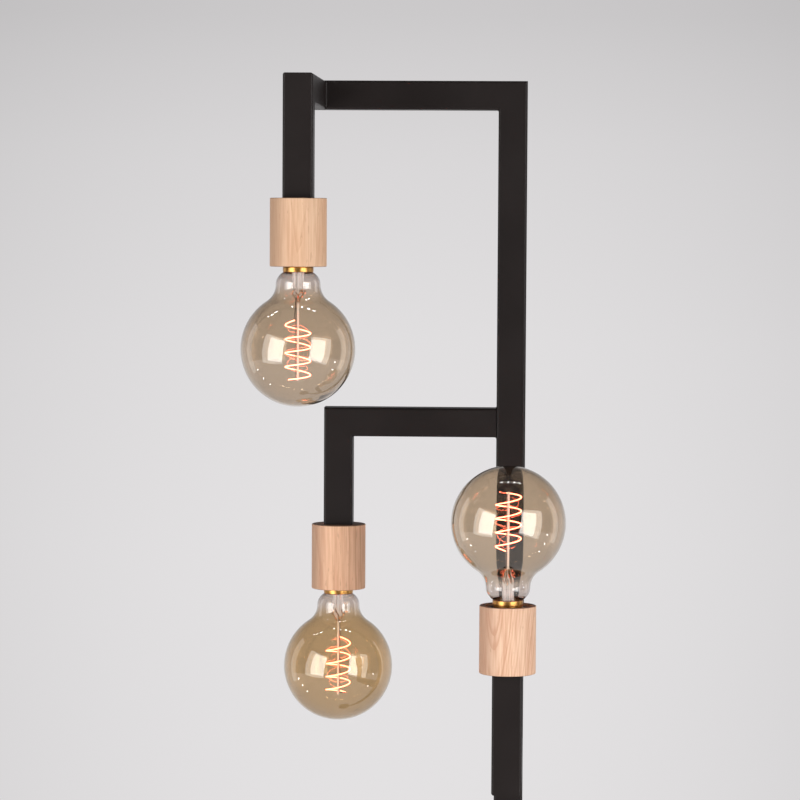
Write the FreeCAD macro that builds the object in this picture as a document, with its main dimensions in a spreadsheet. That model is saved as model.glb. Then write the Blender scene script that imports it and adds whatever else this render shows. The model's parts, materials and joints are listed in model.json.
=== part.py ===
import FreeCAD, Part
import Sketcher
import math
import os
import re
from FreeCAD import Placement, Rotation, Vector

# A floor lamp of square steel tube with three globe bulbs.
# The origin is on the floor under the mast, +Z is up and the front is -Y.
# All lengths are in millimetres.

SIZES = {
    # Square tube and the lamp's frame
    "tube_side": 25,
    "tube_wall": 1.2,
    "tube_corner": 2,
    "lamp_height": 1560,
    "plane_gap": 150,
    "top_reach": 175,
    "middle_reach": 150,
    "middle_drop": 283.5,
    "stub_drop": 595,
    "drop_length": 102.5,
    "riser_length": 100.5,
    "cable_hole_radius": 8,
    "weld_leg": 1.6,
    "cut_overrun": 5,
    # Mast joints
    "low_joint_height": 457,
    "joint_below_stub": 66,
    "coupler_length": 80,
    "coupler_play": 0.2,
    "coupler_bore_radius": 7.5,
    "screw_offset": 20,
    "screw_radius": 2.5,
    "screw_play": 0.15,
    "screw_head_radius": 4.4,
    "screw_head_height": 2.6,
    # Base
    "cover_radius": 140,
    "cover_wall": 1.2,
    "cover_round": 3,
    "cover_lift": 1,
    "pad_thickness": 2,
    "pad_inset": 2.6,
    "weight_thickness": 12,
    "weight_play": 0.4,
    "recess_radius": 15,
    "recess_depth": 8,
    "stud_radius": 6,
    "stud_play": 0.3,
    "stud_end_gap": 1,
    "plug_height": 18,
    "washer_radius": 13,
    "washer_thickness": 1.5,
    "base_nut_flats": 18,
    "base_nut_thickness": 5.5,
    # Cord inlet
    "gland_height": 45,
    "gland_bore_radius": 3.5,
    "gland_neck_radius": 5.5,
    "gland_flange_radius": 7.5,
    "gland_flange": 2,
    "gland_lip": 1.2,
    "gland_play": 0.1,
    # Wooden cup and what clamps it to the tube
    "cup_radius": 23.5,
    "cup_length": 56.5,
    "cup_bore_radius": 19,
    "cup_end": 8,
    "cup_round": 0.8,
    "plate_thickness": 4,
    "plate_play": 0.1,
    "nipple_radius": 5,
    "nipple_bore_radius": 3.5,
    "nipple_inside": 3,
    "nipple_reach": 3,
    "thread_play": 0.05,
    "lock_washer_radius": 8.5,
    "lock_washer_thickness": 1,
    "lock_nut_flats": 14,
    "lock_nut_thickness": 3,
    # Lampholder
    "holder_gap": 0.3,
    "holder_radius": 18.7,
    "holder_cap_depth": 11.7,
    "holder_cap_wall": 2,
    "holder_skirt": 2,
    "holder_floor": 5.5,
    "holder_bore_depth": 23,
    "holder_bore_radius": 14.2,
    "shell_radius": 13.95,
    "shell_wall": 0.5,
    "shell_lift": 1,
    "shell_recess": 2,
    "shell_thread_turns": 4.5,
    "contact_width": 5,
    "contact_length": 10,
    "contact_strip": 0.4,
    "contact_clearance": 0.3,
    "terminal_offset": 9,
    "terminal_shank_radius": 1.6,
    "terminal_shank_length": 4,
    "terminal_head_radius": 3,
    "terminal_head_height": 2,
    # Bulb cap
    "tip_height": 2.2,
    "cap_length": 27,
    "cap_radius": 12.15,
    "cap_wall": 0.3,
    "skirt_radius": 12.7,
    "skirt_length": 4,
    "button_radius": 4.4,
    "button_height": 0.8,
    "insulator_tip_radius": 5.2,
    "insulator_radius": 11.5,
    "insulator_height": 5.4,
    "insulator_rim": 1.4,
    "thread_pitch": 3.629,
    "thread_height": 0.95,
    "thread_foot_width": 2,
    "thread_crest_width": 0.9,
    "cap_thread_start": 6.2,
    "cap_thread_turns": 4.3,
    # Glass
    "globe_radius": 47.5,
    "globe_rise": 64.1,
    "glass_wall": 0.9,
    "neck_radius": 11.6,
    "neck_depth": 12.7,
    "shoulder_radius": 18.5,
    "shoulder_round": 11.4,
    "shoulder_rise": 10.6,
    "flare_play": 0.1,
    "flare_rim": 0.8,
    "stem_radius": 4.9,
    "stem_wall": 1,
    "stem_rise": 2,
    "stem_tube_length": 15,
    "press_length": 9,
    "press_tip_radius": 1.6,
    "rod_radius": 0.9,
    "rod_overshoot": 1,
    # Filament and its wires
    "filament_radius": 10.5,
    "filament_entry_radius": 7,
    "filament_wire_radius": 0.42,
    "filament_pitch": 11.45,
    "filament_turns": 3.87,
    "middle_mount_turn": 172,
    "filament_entry_turns": 0.2,
    "filament_entry_rise": 5,
    "filament_lean": 0.45,
    "filament_first_rise": 45,
    "wire_radius": 0.35,
    "wire_clearance": 0.2,
    "inner_wire_offset": 1.6,
    # Cables inside the tubes
    "lead_radius": 2.8,
    "lead_bend": 28,
    "trunk_radius": 3.2,
    "trunk_above_gland": 17,
    "splice_above_stub": 55,
    "splice_radius": 4.2,
    "splice_length": 20,
    "splice_gap": 0.3,
}

doc = FreeCAD.newDocument("floor_lamp")
sheet = doc.addObject("Spreadsheet::Sheet", "sizes")
for row, (name, amount) in enumerate(SIZES.items(), start=1):
    sheet.set(f"A{row}", name)
    sheet.set(f"B{row}", str(amount))
    sheet.setAlias(f"B{row}", name)
doc.recompute()

nodes = []


def formula(text):
    """The text with each size spelled as the sheet's alias."""
    return re.sub(r"[a-z_]+", lambda word: f"sizes.{word[0]}" if word[0] in SIZES else word[0], text)


def number(text):
    """The value of a formula now."""
    return float(sheet.evalExpression(formula(text)))


def place(thing, x="0", y="0", z="0", turn=Rotation()):
    """Put a thing at a place given by formulas, turned about it."""
    thing.Placement = Placement(Vector(number(x), number(y), number(z)), turn)
    for axis, text in zip("xyz", (x, y, z)):
        thing.setExpression(f"Placement.Base.{axis}", formula(text))


def node(thing):
    """Keep a thing as one of the lamp's sub-parts."""
    nodes.append(thing)
    return thing


def new_body(label):
    body = doc.addObject("PartDesign::Body", label)
    body.Label = label
    return body


def axes(x, z):
    """The rotation that turns a piece's own x and z to the two directions."""
    return Rotation(Vector(*x), Vector(0, 0, 0), Vector(*z), "ZXY")


RIGHT, LEFT = (1, 0, 0), (-1, 0, 0)
BACK, FRONT = (0, 1, 0), (0, -1, 0)
UP, DOWN = (0, 0, 1), (0, 0, -1)


class Drawing:
    """A sketch on one of a body's own planes, with every point held by a formula."""

    def __init__(self, body, plane, name):
        self.sketch = body.newObject("Sketcher::SketchObject", name)
        origin_planes = body.Origin.OriginFeatures
        own_plane = next(item for item in origin_planes if item.Role == plane)
        self.sketch.AttachmentSupport = [(own_plane, "")]
        self.sketch.MapMode = "FlatFace"

    def hold(self, kind, *places, size):
        """Add a constraint whose value is a formula."""
        index = self.sketch.addConstraint(Sketcher.Constraint(kind, *places, number(size)))
        self.sketch.setExpression(f"Constraints[{index}]", formula(size))

    def hold_point(self, shape, end, x, y):
        self.hold("DistanceX", -1, 1, shape, end, size=x)
        self.hold("DistanceY", -1, 1, shape, end, size=y)

    def circle(self, radius, x="0", y="0"):
        centre = Vector(number(x), number(y), 0)
        shape = self.sketch.addGeometry(Part.Circle(centre, Vector(0, 0, 1), number(radius)))
        self.hold("Radius", shape, size=radius)
        self.hold_point(shape, 3, x, y)

    def outline(self, corners):
        """A closed outline. A corner is x, y and, where a round side leaves it,
        the side's radius and its sense: 1 for anticlockwise, -1 for clockwise."""
        sides = []
        for corner, after in zip(corners, corners[1:] + corners[:1]):
            first = Vector(number(corner[0]), number(corner[1]), 0)
            last = Vector(number(after[0]), number(after[1]), 0)
            if len(corner) == 2:
                shape = self.sketch.addGeometry(Part.LineSegment(first, last))
                sides.append((shape, 1, 2))
                continue
            radius, sense = number(corner[2]), corner[3]
            chord = last - first
            height = math.sqrt(max(radius ** 2 - chord.Length ** 2 / 4, 0))
            across = Vector(-chord.y, chord.x, 0).normalize()
            centre = (first + last) / 2 + across * height * sense
            begin, finish = (first, last) if sense > 0 else (last, first)
            angles = [math.atan2(p.y - centre.y, p.x - centre.x) for p in (begin, finish)]
            ring = Part.Circle(centre, Vector(0, 0, 1), radius)
            shape = self.sketch.addGeometry(Part.ArcOfCircle(ring, *angles))
            sides.append((shape, 1, 2) if sense > 0 else (shape, 2, 1))
            self.hold("Radius", shape, size=corner[2])
        for index, (corner, side) in enumerate(zip(corners, sides)):
            before = sides[index - 1]
            ends = (before[0], before[2], side[0], side[1])
            self.sketch.addConstraint(Sketcher.Constraint("Coincident", *ends))
            self.hold_point(side[0], side[1], corner[0], corner[1])

    def rounded_square(self, half, corner):
        """A square about the origin with round corners."""
        self.outline([
            (half, f"-({half} - ({corner}))"),
            (half, f"{half} - ({corner})", corner, 1),
            (f"{half} - ({corner})", half),
            (f"-({half} - ({corner}))", half, corner, 1),
            (f"-({half})", f"{half} - ({corner})"),
            (f"-({half})", f"-({half} - ({corner}))", corner, 1),
            (f"-({half} - ({corner}))", f"-({half})"),
            (f"{half} - ({corner})", f"-({half})", corner, 1),
        ])

    def hexagon(self, flats):
        """A hexagon about the origin, given by its width across the flats."""
        reach = f"({flats}) / sqrt(3)"
        corners = []
        for turn in range(6):
            corners.append((f"{reach} * cos({turn * 60} deg)", f"{reach} * sin({turn * 60} deg)"))
        self.outline(corners)


def pad(body, drawing, length, both_ways=False, backwards=False):
    solid = body.newObject("PartDesign::Pad", "pad")
    solid.Profile = drawing.sketch
    solid.SideType = "Symmetric" if both_ways else "One side"
    solid.Reversed = backwards
    solid.setExpression("Length", formula(length))
    return solid


def pocket(body, drawing, length, both_ways=False, backwards=False):
    cut = body.newObject("PartDesign::Pocket", "pocket")
    cut.Profile = drawing.sketch
    cut.SideType = "Symmetric" if both_ways else "One side"
    cut.Reversed = backwards
    cut.setExpression("Length", formula(length))
    return cut


def turned(label, corners):
    """A solid of revolution about its own z, from its outline in x and z."""
    body = new_body(label)
    profile = Drawing(body, "XZ_Plane", "profile")
    profile.outline(corners)
    solid = body.newObject("PartDesign::Revolution", "turned")
    solid.Profile = profile.sketch
    solid.ReferenceAxis = (profile.sketch, ["V_Axis"])
    solid.Angle = 360
    return body


def ring(label, outer, inner, low, high):
    """A turned ring between two radii and two heights."""
    return turned(label, [(inner, low), (outer, low), (outer, high), (inner, high)])


def group(label, pieces):
    """Like pieces kept together as one sub-part."""
    together = doc.addObject("Part::Compound", label)
    together.Label = label
    together.Links = pieces
    return node(together)


# Square tube

HALF = "tube_side / 2"
INNER_HALF = "(tube_side / 2 - tube_wall)"
MITRE_PLANES = {"x": "XZ_Plane", "y": "YZ_Plane"}


def mitre(body, length, end, towards):
    """Cut an end at 45 degrees. The next tube leaves towards +x, -x, +y or -y."""
    sign, axis = towards
    outside = "-" if sign == "+" else ""
    inside = "" if sign == "+" else "-"
    edge = f"({length}) + cut_overrun" if end == "far" else "-cut_overrun"
    deep = f"({length}) - tube_side - cut_overrun" if end == "far" else "tube_side + cut_overrun"
    wedge = Drawing(body, MITRE_PLANES[axis], "mitre")
    wedge.outline([
        (f"{outside}({HALF} + cut_overrun)", edge),
        (f"{inside}({HALF} + cut_overrun)", edge),
        (f"{inside}({HALF} + cut_overrun)", deep),
    ])
    pocket(body, wedge, "tube_side + 2 * cut_overrun", both_ways=True)


def square_tube(label, length, near=None, far=None):
    """A tube along its own z, with mitred ends where a direction is given."""
    body = new_body(label)
    section = Drawing(body, "XY_Plane", "section")
    section.rounded_square(HALF, "tube_corner")
    section.rounded_square(INNER_HALF, "tube_corner - tube_wall")
    pad(body, section, length)
    if near:
        mitre(body, length, "near", near)
    if far:
        mitre(body, length, "far", far)
    return node(body)


# A pocket from a body's middle plane leaves one wall of a tube whole.
WALL_HOLES = {"left": ("YZ_Plane", False), "front": ("XZ_Plane", True), "back": ("XZ_Plane", False)}


def wall_hole(body, wall, radius, height):
    """A round hole in one wall of an upright tube."""
    plane, backwards = WALL_HOLES[wall]
    hole = Drawing(body, plane, f"{wall}_hole")
    hole.circle(radius, "0", height)
    pocket(body, hole, "tube_side", backwards=backwards)


COVER_TOP = "(pad_thickness + weight_thickness + cover_wall)"
MIDDLE_BAR_TOP = "(lamp_height - middle_drop)"
STUB_BOTTOM = "(lamp_height - stub_drop)"
LOW_JOINT = "low_joint_height"
HIGH_JOINT = f"({STUB_BOTTOM} - joint_below_stub)"
SCREW_HOLE = "screw_radius + screw_play"

lower_mast = square_tube("lower_mast", f"{LOW_JOINT} - {COVER_TOP}")
place(lower_mast, z=COVER_TOP)
wall_hole(lower_mast, "back", "gland_neck_radius + gland_play", f"gland_height - {COVER_TOP}")
wall_hole(lower_mast, "back", SCREW_HOLE, f"{LOW_JOINT} - screw_offset - {COVER_TOP}")

middle_mast = square_tube("middle_mast", f"{HIGH_JOINT} - {LOW_JOINT}")
place(middle_mast, z=LOW_JOINT)
wall_hole(middle_mast, "back", SCREW_HOLE, "screw_offset")
wall_hole(middle_mast, "back", SCREW_HOLE, f"{HIGH_JOINT} - {LOW_JOINT} - screw_offset")

upper_mast = square_tube("upper_mast", f"lamp_height - {HIGH_JOINT}", far="-x")
place(upper_mast, z=HIGH_JOINT)
wall_hole(upper_mast, "back", SCREW_HOLE, "screw_offset")
wall_hole(upper_mast, "left", "cable_hole_radius", f"{MIDDLE_BAR_TOP} - {HALF} - {HIGH_JOINT}")
wall_hole(upper_mast, "front", "cable_hole_radius", f"{STUB_BOTTOM} + {HALF} - {HIGH_JOINT}")

top_bar = square_tube("top_bar", "top_reach + tube_side", near="-x", far="-y")
place(top_bar, HALF, "0", f"lamp_height - {HALF}", axes(UP, LEFT))

top_stub = square_tube("top_stub", "plane_gap + tube_side", near="+x", far="-y")
place(top_stub, "-top_reach", HALF, f"lamp_height - {HALF}", axes(RIGHT, FRONT))

top_drop_tube = square_tube("top_drop_tube", "drop_length", near="-y")
place(top_drop_tube, "-top_reach", "-plane_gap", "lamp_height", axes(RIGHT, DOWN))

middle_bar = square_tube("middle_bar", "middle_reach", far="-x")
place(middle_bar, f"-{HALF}", "0", f"{MIDDLE_BAR_TOP} - {HALF}", axes(UP, LEFT))

middle_drop_tube = square_tube("middle_drop_tube", "drop_length", near="+x")
place(middle_drop_tube, "-middle_reach", "0", MIDDLE_BAR_TOP, axes(RIGHT, DOWN))

lower_stub = square_tube("lower_stub", "plane_gap", far="+y")
place(lower_stub, "0", f"-{HALF}", f"{STUB_BOTTOM} + {HALF}", axes(RIGHT, FRONT))

riser_tube = square_tube("riser_tube", "riser_length", near="+y")
place(riser_tube, "0", "-plane_gap", STUB_BOTTOM)


# Weld beads in the corners between tubes

BEAD_LENGTH = "tube_side - 2 * tube_corner"


def weld_bead(label, corner, first_side, along):
    """A hollow-faced bead. Its own x leaves the corner on one wall and its z runs along it."""
    block = doc.addObject("Part::Box", f"{label}_block")
    block.setExpression("Length", "sizes.weld_leg")
    block.setExpression("Width", "sizes.weld_leg")
    block.setExpression("Height", formula(BEAD_LENGTH))
    hollow = doc.addObject("Part::Cylinder", f"{label}_hollow")
    hollow.setExpression("Radius", "sizes.weld_leg")
    hollow.setExpression("Height", formula(f"{BEAD_LENGTH} + 2 * cut_overrun"))
    place(hollow, "weld_leg", "weld_leg", "-cut_overrun")
    bead = doc.addObject("Part::Cut", label)
    bead.Base = block
    bead.Tool = hollow
    doc.recompute()
    place(bead, *corner, axes(first_side, along))
    return bead


SIDE_START = f"-({BEAD_LENGTH}) / 2"
SIDE_END = f"({BEAD_LENGTH}) / 2"
beads = [
    weld_bead("bead_top_bar_mast", (f"-{HALF}", SIDE_END, "lamp_height - tube_side"), LEFT, FRONT),
    weld_bead("bead_top_bar_stub", (f"{HALF} - top_reach", f"-{HALF}", f"lamp_height - {HALF} + {SIDE_END}"),
              RIGHT, DOWN),
    weld_bead("bead_top_stub_drop",
              (f"-top_reach + {SIDE_END}", f"{HALF} - plane_gap", "lamp_height - tube_side"), BACK, LEFT),
    weld_bead("bead_middle_bar_below", (f"-{HALF}", SIDE_END, f"{MIDDLE_BAR_TOP} - tube_side"), LEFT, FRONT),
    weld_bead("bead_middle_bar_above", (f"-{HALF}", SIDE_START, MIDDLE_BAR_TOP), LEFT, BACK),
    weld_bead("bead_middle_drop", (f"{HALF} - middle_reach", SIDE_START, f"{MIDDLE_BAR_TOP} - tube_side"),
              RIGHT, BACK),
    weld_bead("bead_stub_below", (SIDE_START, f"-{HALF}", STUB_BOTTOM), FRONT, RIGHT),
    weld_bead("bead_stub_above", (SIDE_END, f"-{HALF}", f"{STUB_BOTTOM} + tube_side"), FRONT, LEFT),
    weld_bead("bead_riser", (SIDE_START, f"{HALF} - plane_gap", f"{STUB_BOTTOM} + tube_side"), BACK, RIGHT),
]
group("weld_beads", beads)


# Couplers that join the mast's lengths, and their screws

COUPLER_HALF = f"({INNER_HALF} - coupler_play)"


def coupler(label, joint):
    """A bored square bar inside the two ends of the mast, tapped at the back."""
    body = new_body(label)
    section = Drawing(body, "XY_Plane", "section")
    section.rounded_square(COUPLER_HALF, "tube_corner - tube_wall")
    section.circle("coupler_bore_radius")
    pad(body, section, "coupler_length", both_ways=True)
    for side in ("", "-"):
        tapped = Drawing(body, "XZ_Plane", "tapped_hole")
        tapped.circle("screw_radius + thread_play", "0", f"{side}screw_offset")
        pocket(body, tapped, "tube_side")
    place(body, z=joint)
    return node(body)


coupler("lower_coupler", LOW_JOINT)
coupler("upper_coupler", HIGH_JOINT)

screws = []
for joint in (LOW_JOINT, HIGH_JOINT):
    for side in ("-", "+"):
        screw = turned(f"coupler_screw_{len(screws) + 1}", [
            ("0", f"coupler_bore_radius - {HALF} + thread_play"),
            ("screw_radius", f"coupler_bore_radius - {HALF} + thread_play"),
            ("screw_radius", "0"),
            ("screw_head_radius", "0"),
            ("screw_head_radius", "screw_head_height / 3"),
            ("screw_head_radius / 2", "screw_head_height"),
            ("0", "screw_head_height"),
        ])
        place(screw, "0", HALF, f"{joint} {side} screw_offset", axes(RIGHT, BACK))
        screws.append(screw)
group("coupler_screws", screws)


# Base

PAD_RADIUS = "(cover_radius - cover_wall - weight_play - pad_inset)"
WEIGHT_RADIUS = "(cover_radius - cover_wall - weight_play)"
WEIGHT_TOP = "(pad_thickness + weight_thickness)"
STUD_HOLE = "(stud_radius + stud_play)"
RECESS_TOP = "(pad_thickness + recess_depth)"

node(turned("floor_pad", [
    ("0", "0"),
    (PAD_RADIUS, "0"),
    (PAD_RADIUS, "pad_thickness"),
    ("0", "pad_thickness"),
]))

node(turned("base_weight", [
    ("recess_radius", "pad_thickness"),
    (WEIGHT_RADIUS, "pad_thickness"),
    (WEIGHT_RADIUS, f"{WEIGHT_TOP} - cover_round"),
    (f"{WEIGHT_RADIUS} - cover_round", WEIGHT_TOP),
    (STUD_HOLE, WEIGHT_TOP),
    (STUD_HOLE, RECESS_TOP),
    ("recess_radius", RECESS_TOP),
]))

node(turned("base_cover", [
    ("cover_radius - cover_wall", "cover_lift"),
    ("cover_radius", "cover_lift"),
    ("cover_radius", f"{COVER_TOP} - cover_round", "cover_round", 1),
    ("cover_radius - cover_round", COVER_TOP),
    (STUD_HOLE, COVER_TOP),
    (STUD_HOLE, WEIGHT_TOP),
    ("cover_radius - cover_round", WEIGHT_TOP, "cover_round - cover_wall", -1),
    ("cover_radius - cover_wall", f"{COVER_TOP} - cover_round"),
]))

node(ring("base_washer", "washer_radius", STUD_HOLE, f"{RECESS_TOP} - washer_thickness", RECESS_TOP))

base_nut = new_body("base_nut")
nut_section = Drawing(base_nut, "XY_Plane", "section")
nut_section.hexagon("base_nut_flats")
nut_section.circle("stud_radius + thread_play")
pad(base_nut, nut_section, "base_nut_thickness")
place(base_nut, z=f"{RECESS_TOP} - washer_thickness - base_nut_thickness")
node(base_nut)

foot_plug = new_body("foot_plug")
plug_section = Drawing(foot_plug, "XY_Plane", "plug_section")
plug_section.rounded_square(COUPLER_HALF, "tube_corner - tube_wall")
pad(foot_plug, plug_section, "plug_height")
stud_section = Drawing(foot_plug, "XY_Plane", "stud_section")
stud_section.circle("stud_radius")
pad(foot_plug, stud_section, f"{COVER_TOP} - pad_thickness - stud_end_gap", backwards=True)
place(foot_plug, z=COVER_TOP)
node(foot_plug)


# Cord inlet: a bush with an open bore in the mast's back wall

gland = turned("cord_gland", [
    ("gland_bore_radius", "-tube_wall - gland_lip"),
    ("gland_neck_radius", "-tube_wall - gland_lip"),
    ("gland_neck_radius + gland_lip / 2", "-tube_wall - gland_play"),
    ("gland_neck_radius", "-tube_wall - gland_play"),
    ("gland_neck_radius", "0"),
    ("gland_flange_radius", "0"),
    ("gland_flange_radius", "gland_flange / 2"),
    ("gland_neck_radius", "gland_flange"),
    ("gland_bore_radius", "gland_flange"),
])
place(gland, "0", HALF, "gland_height", axes(RIGHT, BACK))
node(gland)


# The three lamps. Their pieces are drawn from the tube's end outwards, along +z.

LAMPS = {
    "top": ("-top_reach", "-plane_gap", "lamp_height - drop_length", -1),
    "middle": ("-middle_reach", "0", f"{MIDDLE_BAR_TOP} - drop_length", -1),
    "riser": ("0", "-plane_gap", f"{STUB_BOTTOM} + riser_length", 1),
}


def place_in_lamp(thing, lamp, along="0", x="0", own_turn=0):
    """Put a piece at a height from the tube's end, on a hanging or a standing lamp."""
    lamp_x, lamp_y, tube_end, sense = LAMPS[lamp]
    turn = Rotation(Vector(0, 0, 1), own_turn)
    if sense > 0:
        place(thing, f"{lamp_x} + {x}", lamp_y, f"{tube_end} + {along}", turn)
    else:
        over = Rotation(Vector(1, 0, 0), 180)
        place(thing, f"{lamp_x} + {x}", lamp_y, f"{tube_end} - ({along})", over.multiply(turn))


NUT_BACK = "(cup_end + lock_washer_thickness)"
NUT_FRONT = f"({NUT_BACK} + lock_nut_thickness)"
HOLDER_BACK = f"({NUT_FRONT} + holder_gap)"
HOLDER_JOIN = f"({HOLDER_BACK} + holder_cap_depth)"
FLOOR_BACK = f"({HOLDER_JOIN} + holder_skirt)"
BORE_FLOOR = f"({FLOOR_BACK} + holder_floor)"
RIM = f"({BORE_FLOOR} + holder_bore_depth)"
TIP = f"({BORE_FLOOR} + tip_height)"
SKIRT_INSIDE = "(holder_radius - holder_cap_wall)"


def wood_cup(lamp):
    cup = turned(f"{lamp}_wood_cup", [
        ("nipple_radius + thread_play", "0"),
        ("cup_radius - cup_round", "0", "cup_round", 1),
        ("cup_radius", "cup_round"),
        ("cup_radius", "cup_length - cup_round", "cup_round", 1),
        ("cup_radius - cup_round", "cup_length"),
        ("cup_bore_radius + cup_round", "cup_length", "cup_round", 1),
        ("cup_bore_radius", "cup_length - cup_round"),
        ("cup_bore_radius", "cup_end"),
        ("nipple_radius + thread_play", "cup_end"),
    ])
    place_in_lamp(cup, lamp)
    return node(cup)


def end_plate(lamp):
    """The square plate welded in the tube's end, tapped for the nipple."""
    plate = new_body(f"{lamp}_end_plate")
    section = Drawing(plate, "XY_Plane", "section")
    section.rounded_square(f"({INNER_HALF} - plate_play)", "tube_corner - tube_wall")
    section.circle("nipple_radius + thread_play")
    pad(plate, section, "plate_thickness", backwards=True)
    place_in_lamp(plate, lamp)
    return plate


def nipple(lamp):
    tube = ring(f"{lamp}_nipple", "nipple_radius", "nipple_bore_radius",
                "-plate_thickness - nipple_inside", f"{HOLDER_BACK} + holder_cap_wall + nipple_reach")
    place_in_lamp(tube, lamp)
    return tube


def lock_washer(lamp):
    hole = "nipple_radius + thread_play"
    washer = ring(f"{lamp}_lock_washer", "lock_washer_radius", hole, "cup_end", NUT_BACK)
    place_in_lamp(washer, lamp)
    return washer


def lock_nut(lamp):
    nut = new_body(f"{lamp}_lock_nut")
    section = Drawing(nut, "XY_Plane", "section")
    section.hexagon("lock_nut_flats")
    section.circle("nipple_radius + thread_play")
    pad(nut, section, "lock_nut_thickness")
    place_in_lamp(nut, lamp, NUT_BACK)
    return nut


def holder_cap(lamp):
    """The lampholder's back, screwed on the nipple, with room for the wires."""
    cap = turned(f"{lamp}_holder_cap", [
        ("nipple_radius + thread_play", HOLDER_BACK),
        ("holder_radius - holder_cap_wall", HOLDER_BACK),
        ("holder_radius", f"{HOLDER_BACK} + holder_cap_wall"),
        ("holder_radius", HOLDER_JOIN),
        (SKIRT_INSIDE, HOLDER_JOIN),
        (SKIRT_INSIDE, f"{HOLDER_BACK} + holder_cap_wall"),
        ("nipple_radius + thread_play", f"{HOLDER_BACK} + holder_cap_wall"),
    ])
    place_in_lamp(cap, lamp)
    return cap


def holder_body(lamp):
    body = turned(f"{lamp}_holder_body", [
        (SKIRT_INSIDE, HOLDER_JOIN),
        ("holder_radius", HOLDER_JOIN),
        ("holder_radius", RIM),
        ("holder_bore_radius", RIM),
        ("holder_bore_radius", BORE_FLOOR),
        ("0", BORE_FLOOR),
        ("0", FLOOR_BACK),
        (SKIRT_INSIDE, FLOOR_BACK),
    ])
    terminals = Drawing(body, "XY_Plane", "terminal_holes")
    for side in ("", "-"):
        terminals.circle("terminal_shank_radius + thread_play", f"{side}terminal_offset")
    pocket(body, terminals, f"{FLOOR_BACK} + terminal_shank_length", backwards=True)
    place_in_lamp(body, lamp)
    return body


def terminal_screw(lamp, side):
    screw = turned(f"{lamp}_terminal_screw_{'left' if side == '-' else 'right'}", [
        ("0", "-terminal_head_height"),
        ("terminal_head_radius", "-terminal_head_height"),
        ("terminal_head_radius", "0"),
        ("terminal_shank_radius", "0"),
        ("terminal_shank_radius", "terminal_shank_length"),
        ("0", "terminal_shank_length"),
    ])
    place_in_lamp(screw, lamp, FLOOR_BACK, x=f"{side}terminal_offset")
    return screw


# Shares of the contact leaf's length, from the middle of its raised end
HEEL_SHARE = 0.7
FOOT_BEND_SHARES = {"under": 0.3, "over": 0.35}
TOP_BEND_SHARES = {"under": 0.1, "over": 0.15}
TOE_SHARE = 0.3


def contact_leaf(lamp):
    """A bent strip on the holder's floor, under the middle of the bulb's cap."""
    strip = new_body(f"{lamp}_contact_leaf")
    profile = Drawing(strip, "XZ_Plane", "profile")
    top = f"{TIP} - contact_clearance"
    profile.outline([
        (f"-contact_length * {HEEL_SHARE}", BORE_FLOOR),
        (f"-contact_length * {FOOT_BEND_SHARES['under']}", BORE_FLOOR),
        (f"-contact_length * {TOP_BEND_SHARES['under']}", f"{top} - contact_strip"),
        (f"contact_length * {TOE_SHARE}", f"{top} - contact_strip"),
        (f"contact_length * {TOE_SHARE}", top),
        (f"-contact_length * {TOP_BEND_SHARES['over']}", top),
        (f"-contact_length * {FOOT_BEND_SHARES['over']}", f"{BORE_FLOOR} + contact_strip"),
        (f"-contact_length * {HEEL_SHARE}", f"{BORE_FLOOR} + contact_strip"),
    ])
    pad(strip, profile, "contact_width", both_ways=True)
    place_in_lamp(strip, lamp)
    return strip


def thread_ridge(body, foot, crest, start, turns):
    """A right-hand ridge wound on a turned body, from one radius to another."""
    profile = Drawing(body, "XZ_Plane", "ridge")
    profile.outline([
        (foot, f"{start} - thread_foot_width / 2"),
        (crest, f"{start} - thread_crest_width / 2"),
        (crest, f"{start} + thread_crest_width / 2"),
        (foot, f"{start} + thread_foot_width / 2"),
    ])
    ridge = body.newObject("PartDesign::AdditiveHelix", "ridge_turns")
    ridge.Profile = profile.sketch
    ridge.ReferenceAxis = (profile.sketch, ["V_Axis"])
    ridge.Mode = "pitch-turns-angle"
    ridge.setExpression("Pitch", "sizes.thread_pitch")
    ridge.setExpression("Turns", formula(turns))
    return ridge


# The holder's ridge starts this share of a pitch below the cap's and lies halfway
# between its turns, so that the bulb screws in between.
SHELL_START_SHARE = 1.5
SHELL_THREAD = f"({TIP} + cap_thread_start - {SHELL_START_SHARE} * thread_pitch)"


def screw_shell(lamp):
    inside = "(shell_radius - shell_wall)"
    shell = ring(f"{lamp}_screw_shell", "shell_radius", inside,
                 f"{BORE_FLOOR} + shell_lift", f"{RIM} - shell_recess")
    thread_ridge(shell, f"{inside} + shell_wall / 2", f"{inside} - thread_height", SHELL_THREAD,
                 "shell_thread_turns")
    place_in_lamp(shell, lamp)
    return shell


# The bulb's pieces are drawn from the tip of its cap, along +z.

CAP_BOTTOM = "(button_height + insulator_height - insulator_rim)"
CAP_INSIDE = "(cap_radius - cap_wall)"


def place_in_bulb(thing, lamp):
    place_in_lamp(thing, lamp, TIP)
    return node(thing)


CONTACT_FACE_SHARE = 0.7


def tip_contact(lamp):
    return place_in_bulb(turned(f"{lamp}_tip_contact", [
        ("0", "0"),
        (f"button_radius * {CONTACT_FACE_SHARE}", "0"),
        ("button_radius", "button_height / 2"),
        ("button_radius", "button_height"),
        ("0", "button_height"),
    ]), lamp)


def tip_insulator(lamp):
    top = "button_height + insulator_height"
    return place_in_bulb(turned(f"{lamp}_tip_insulator", [
        ("0", "button_height"),
        ("insulator_tip_radius", "button_height"),
        ("insulator_radius", f"{top} - insulator_rim"),
        ("insulator_radius", top),
        ("0", top),
    ]), lamp)


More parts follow.
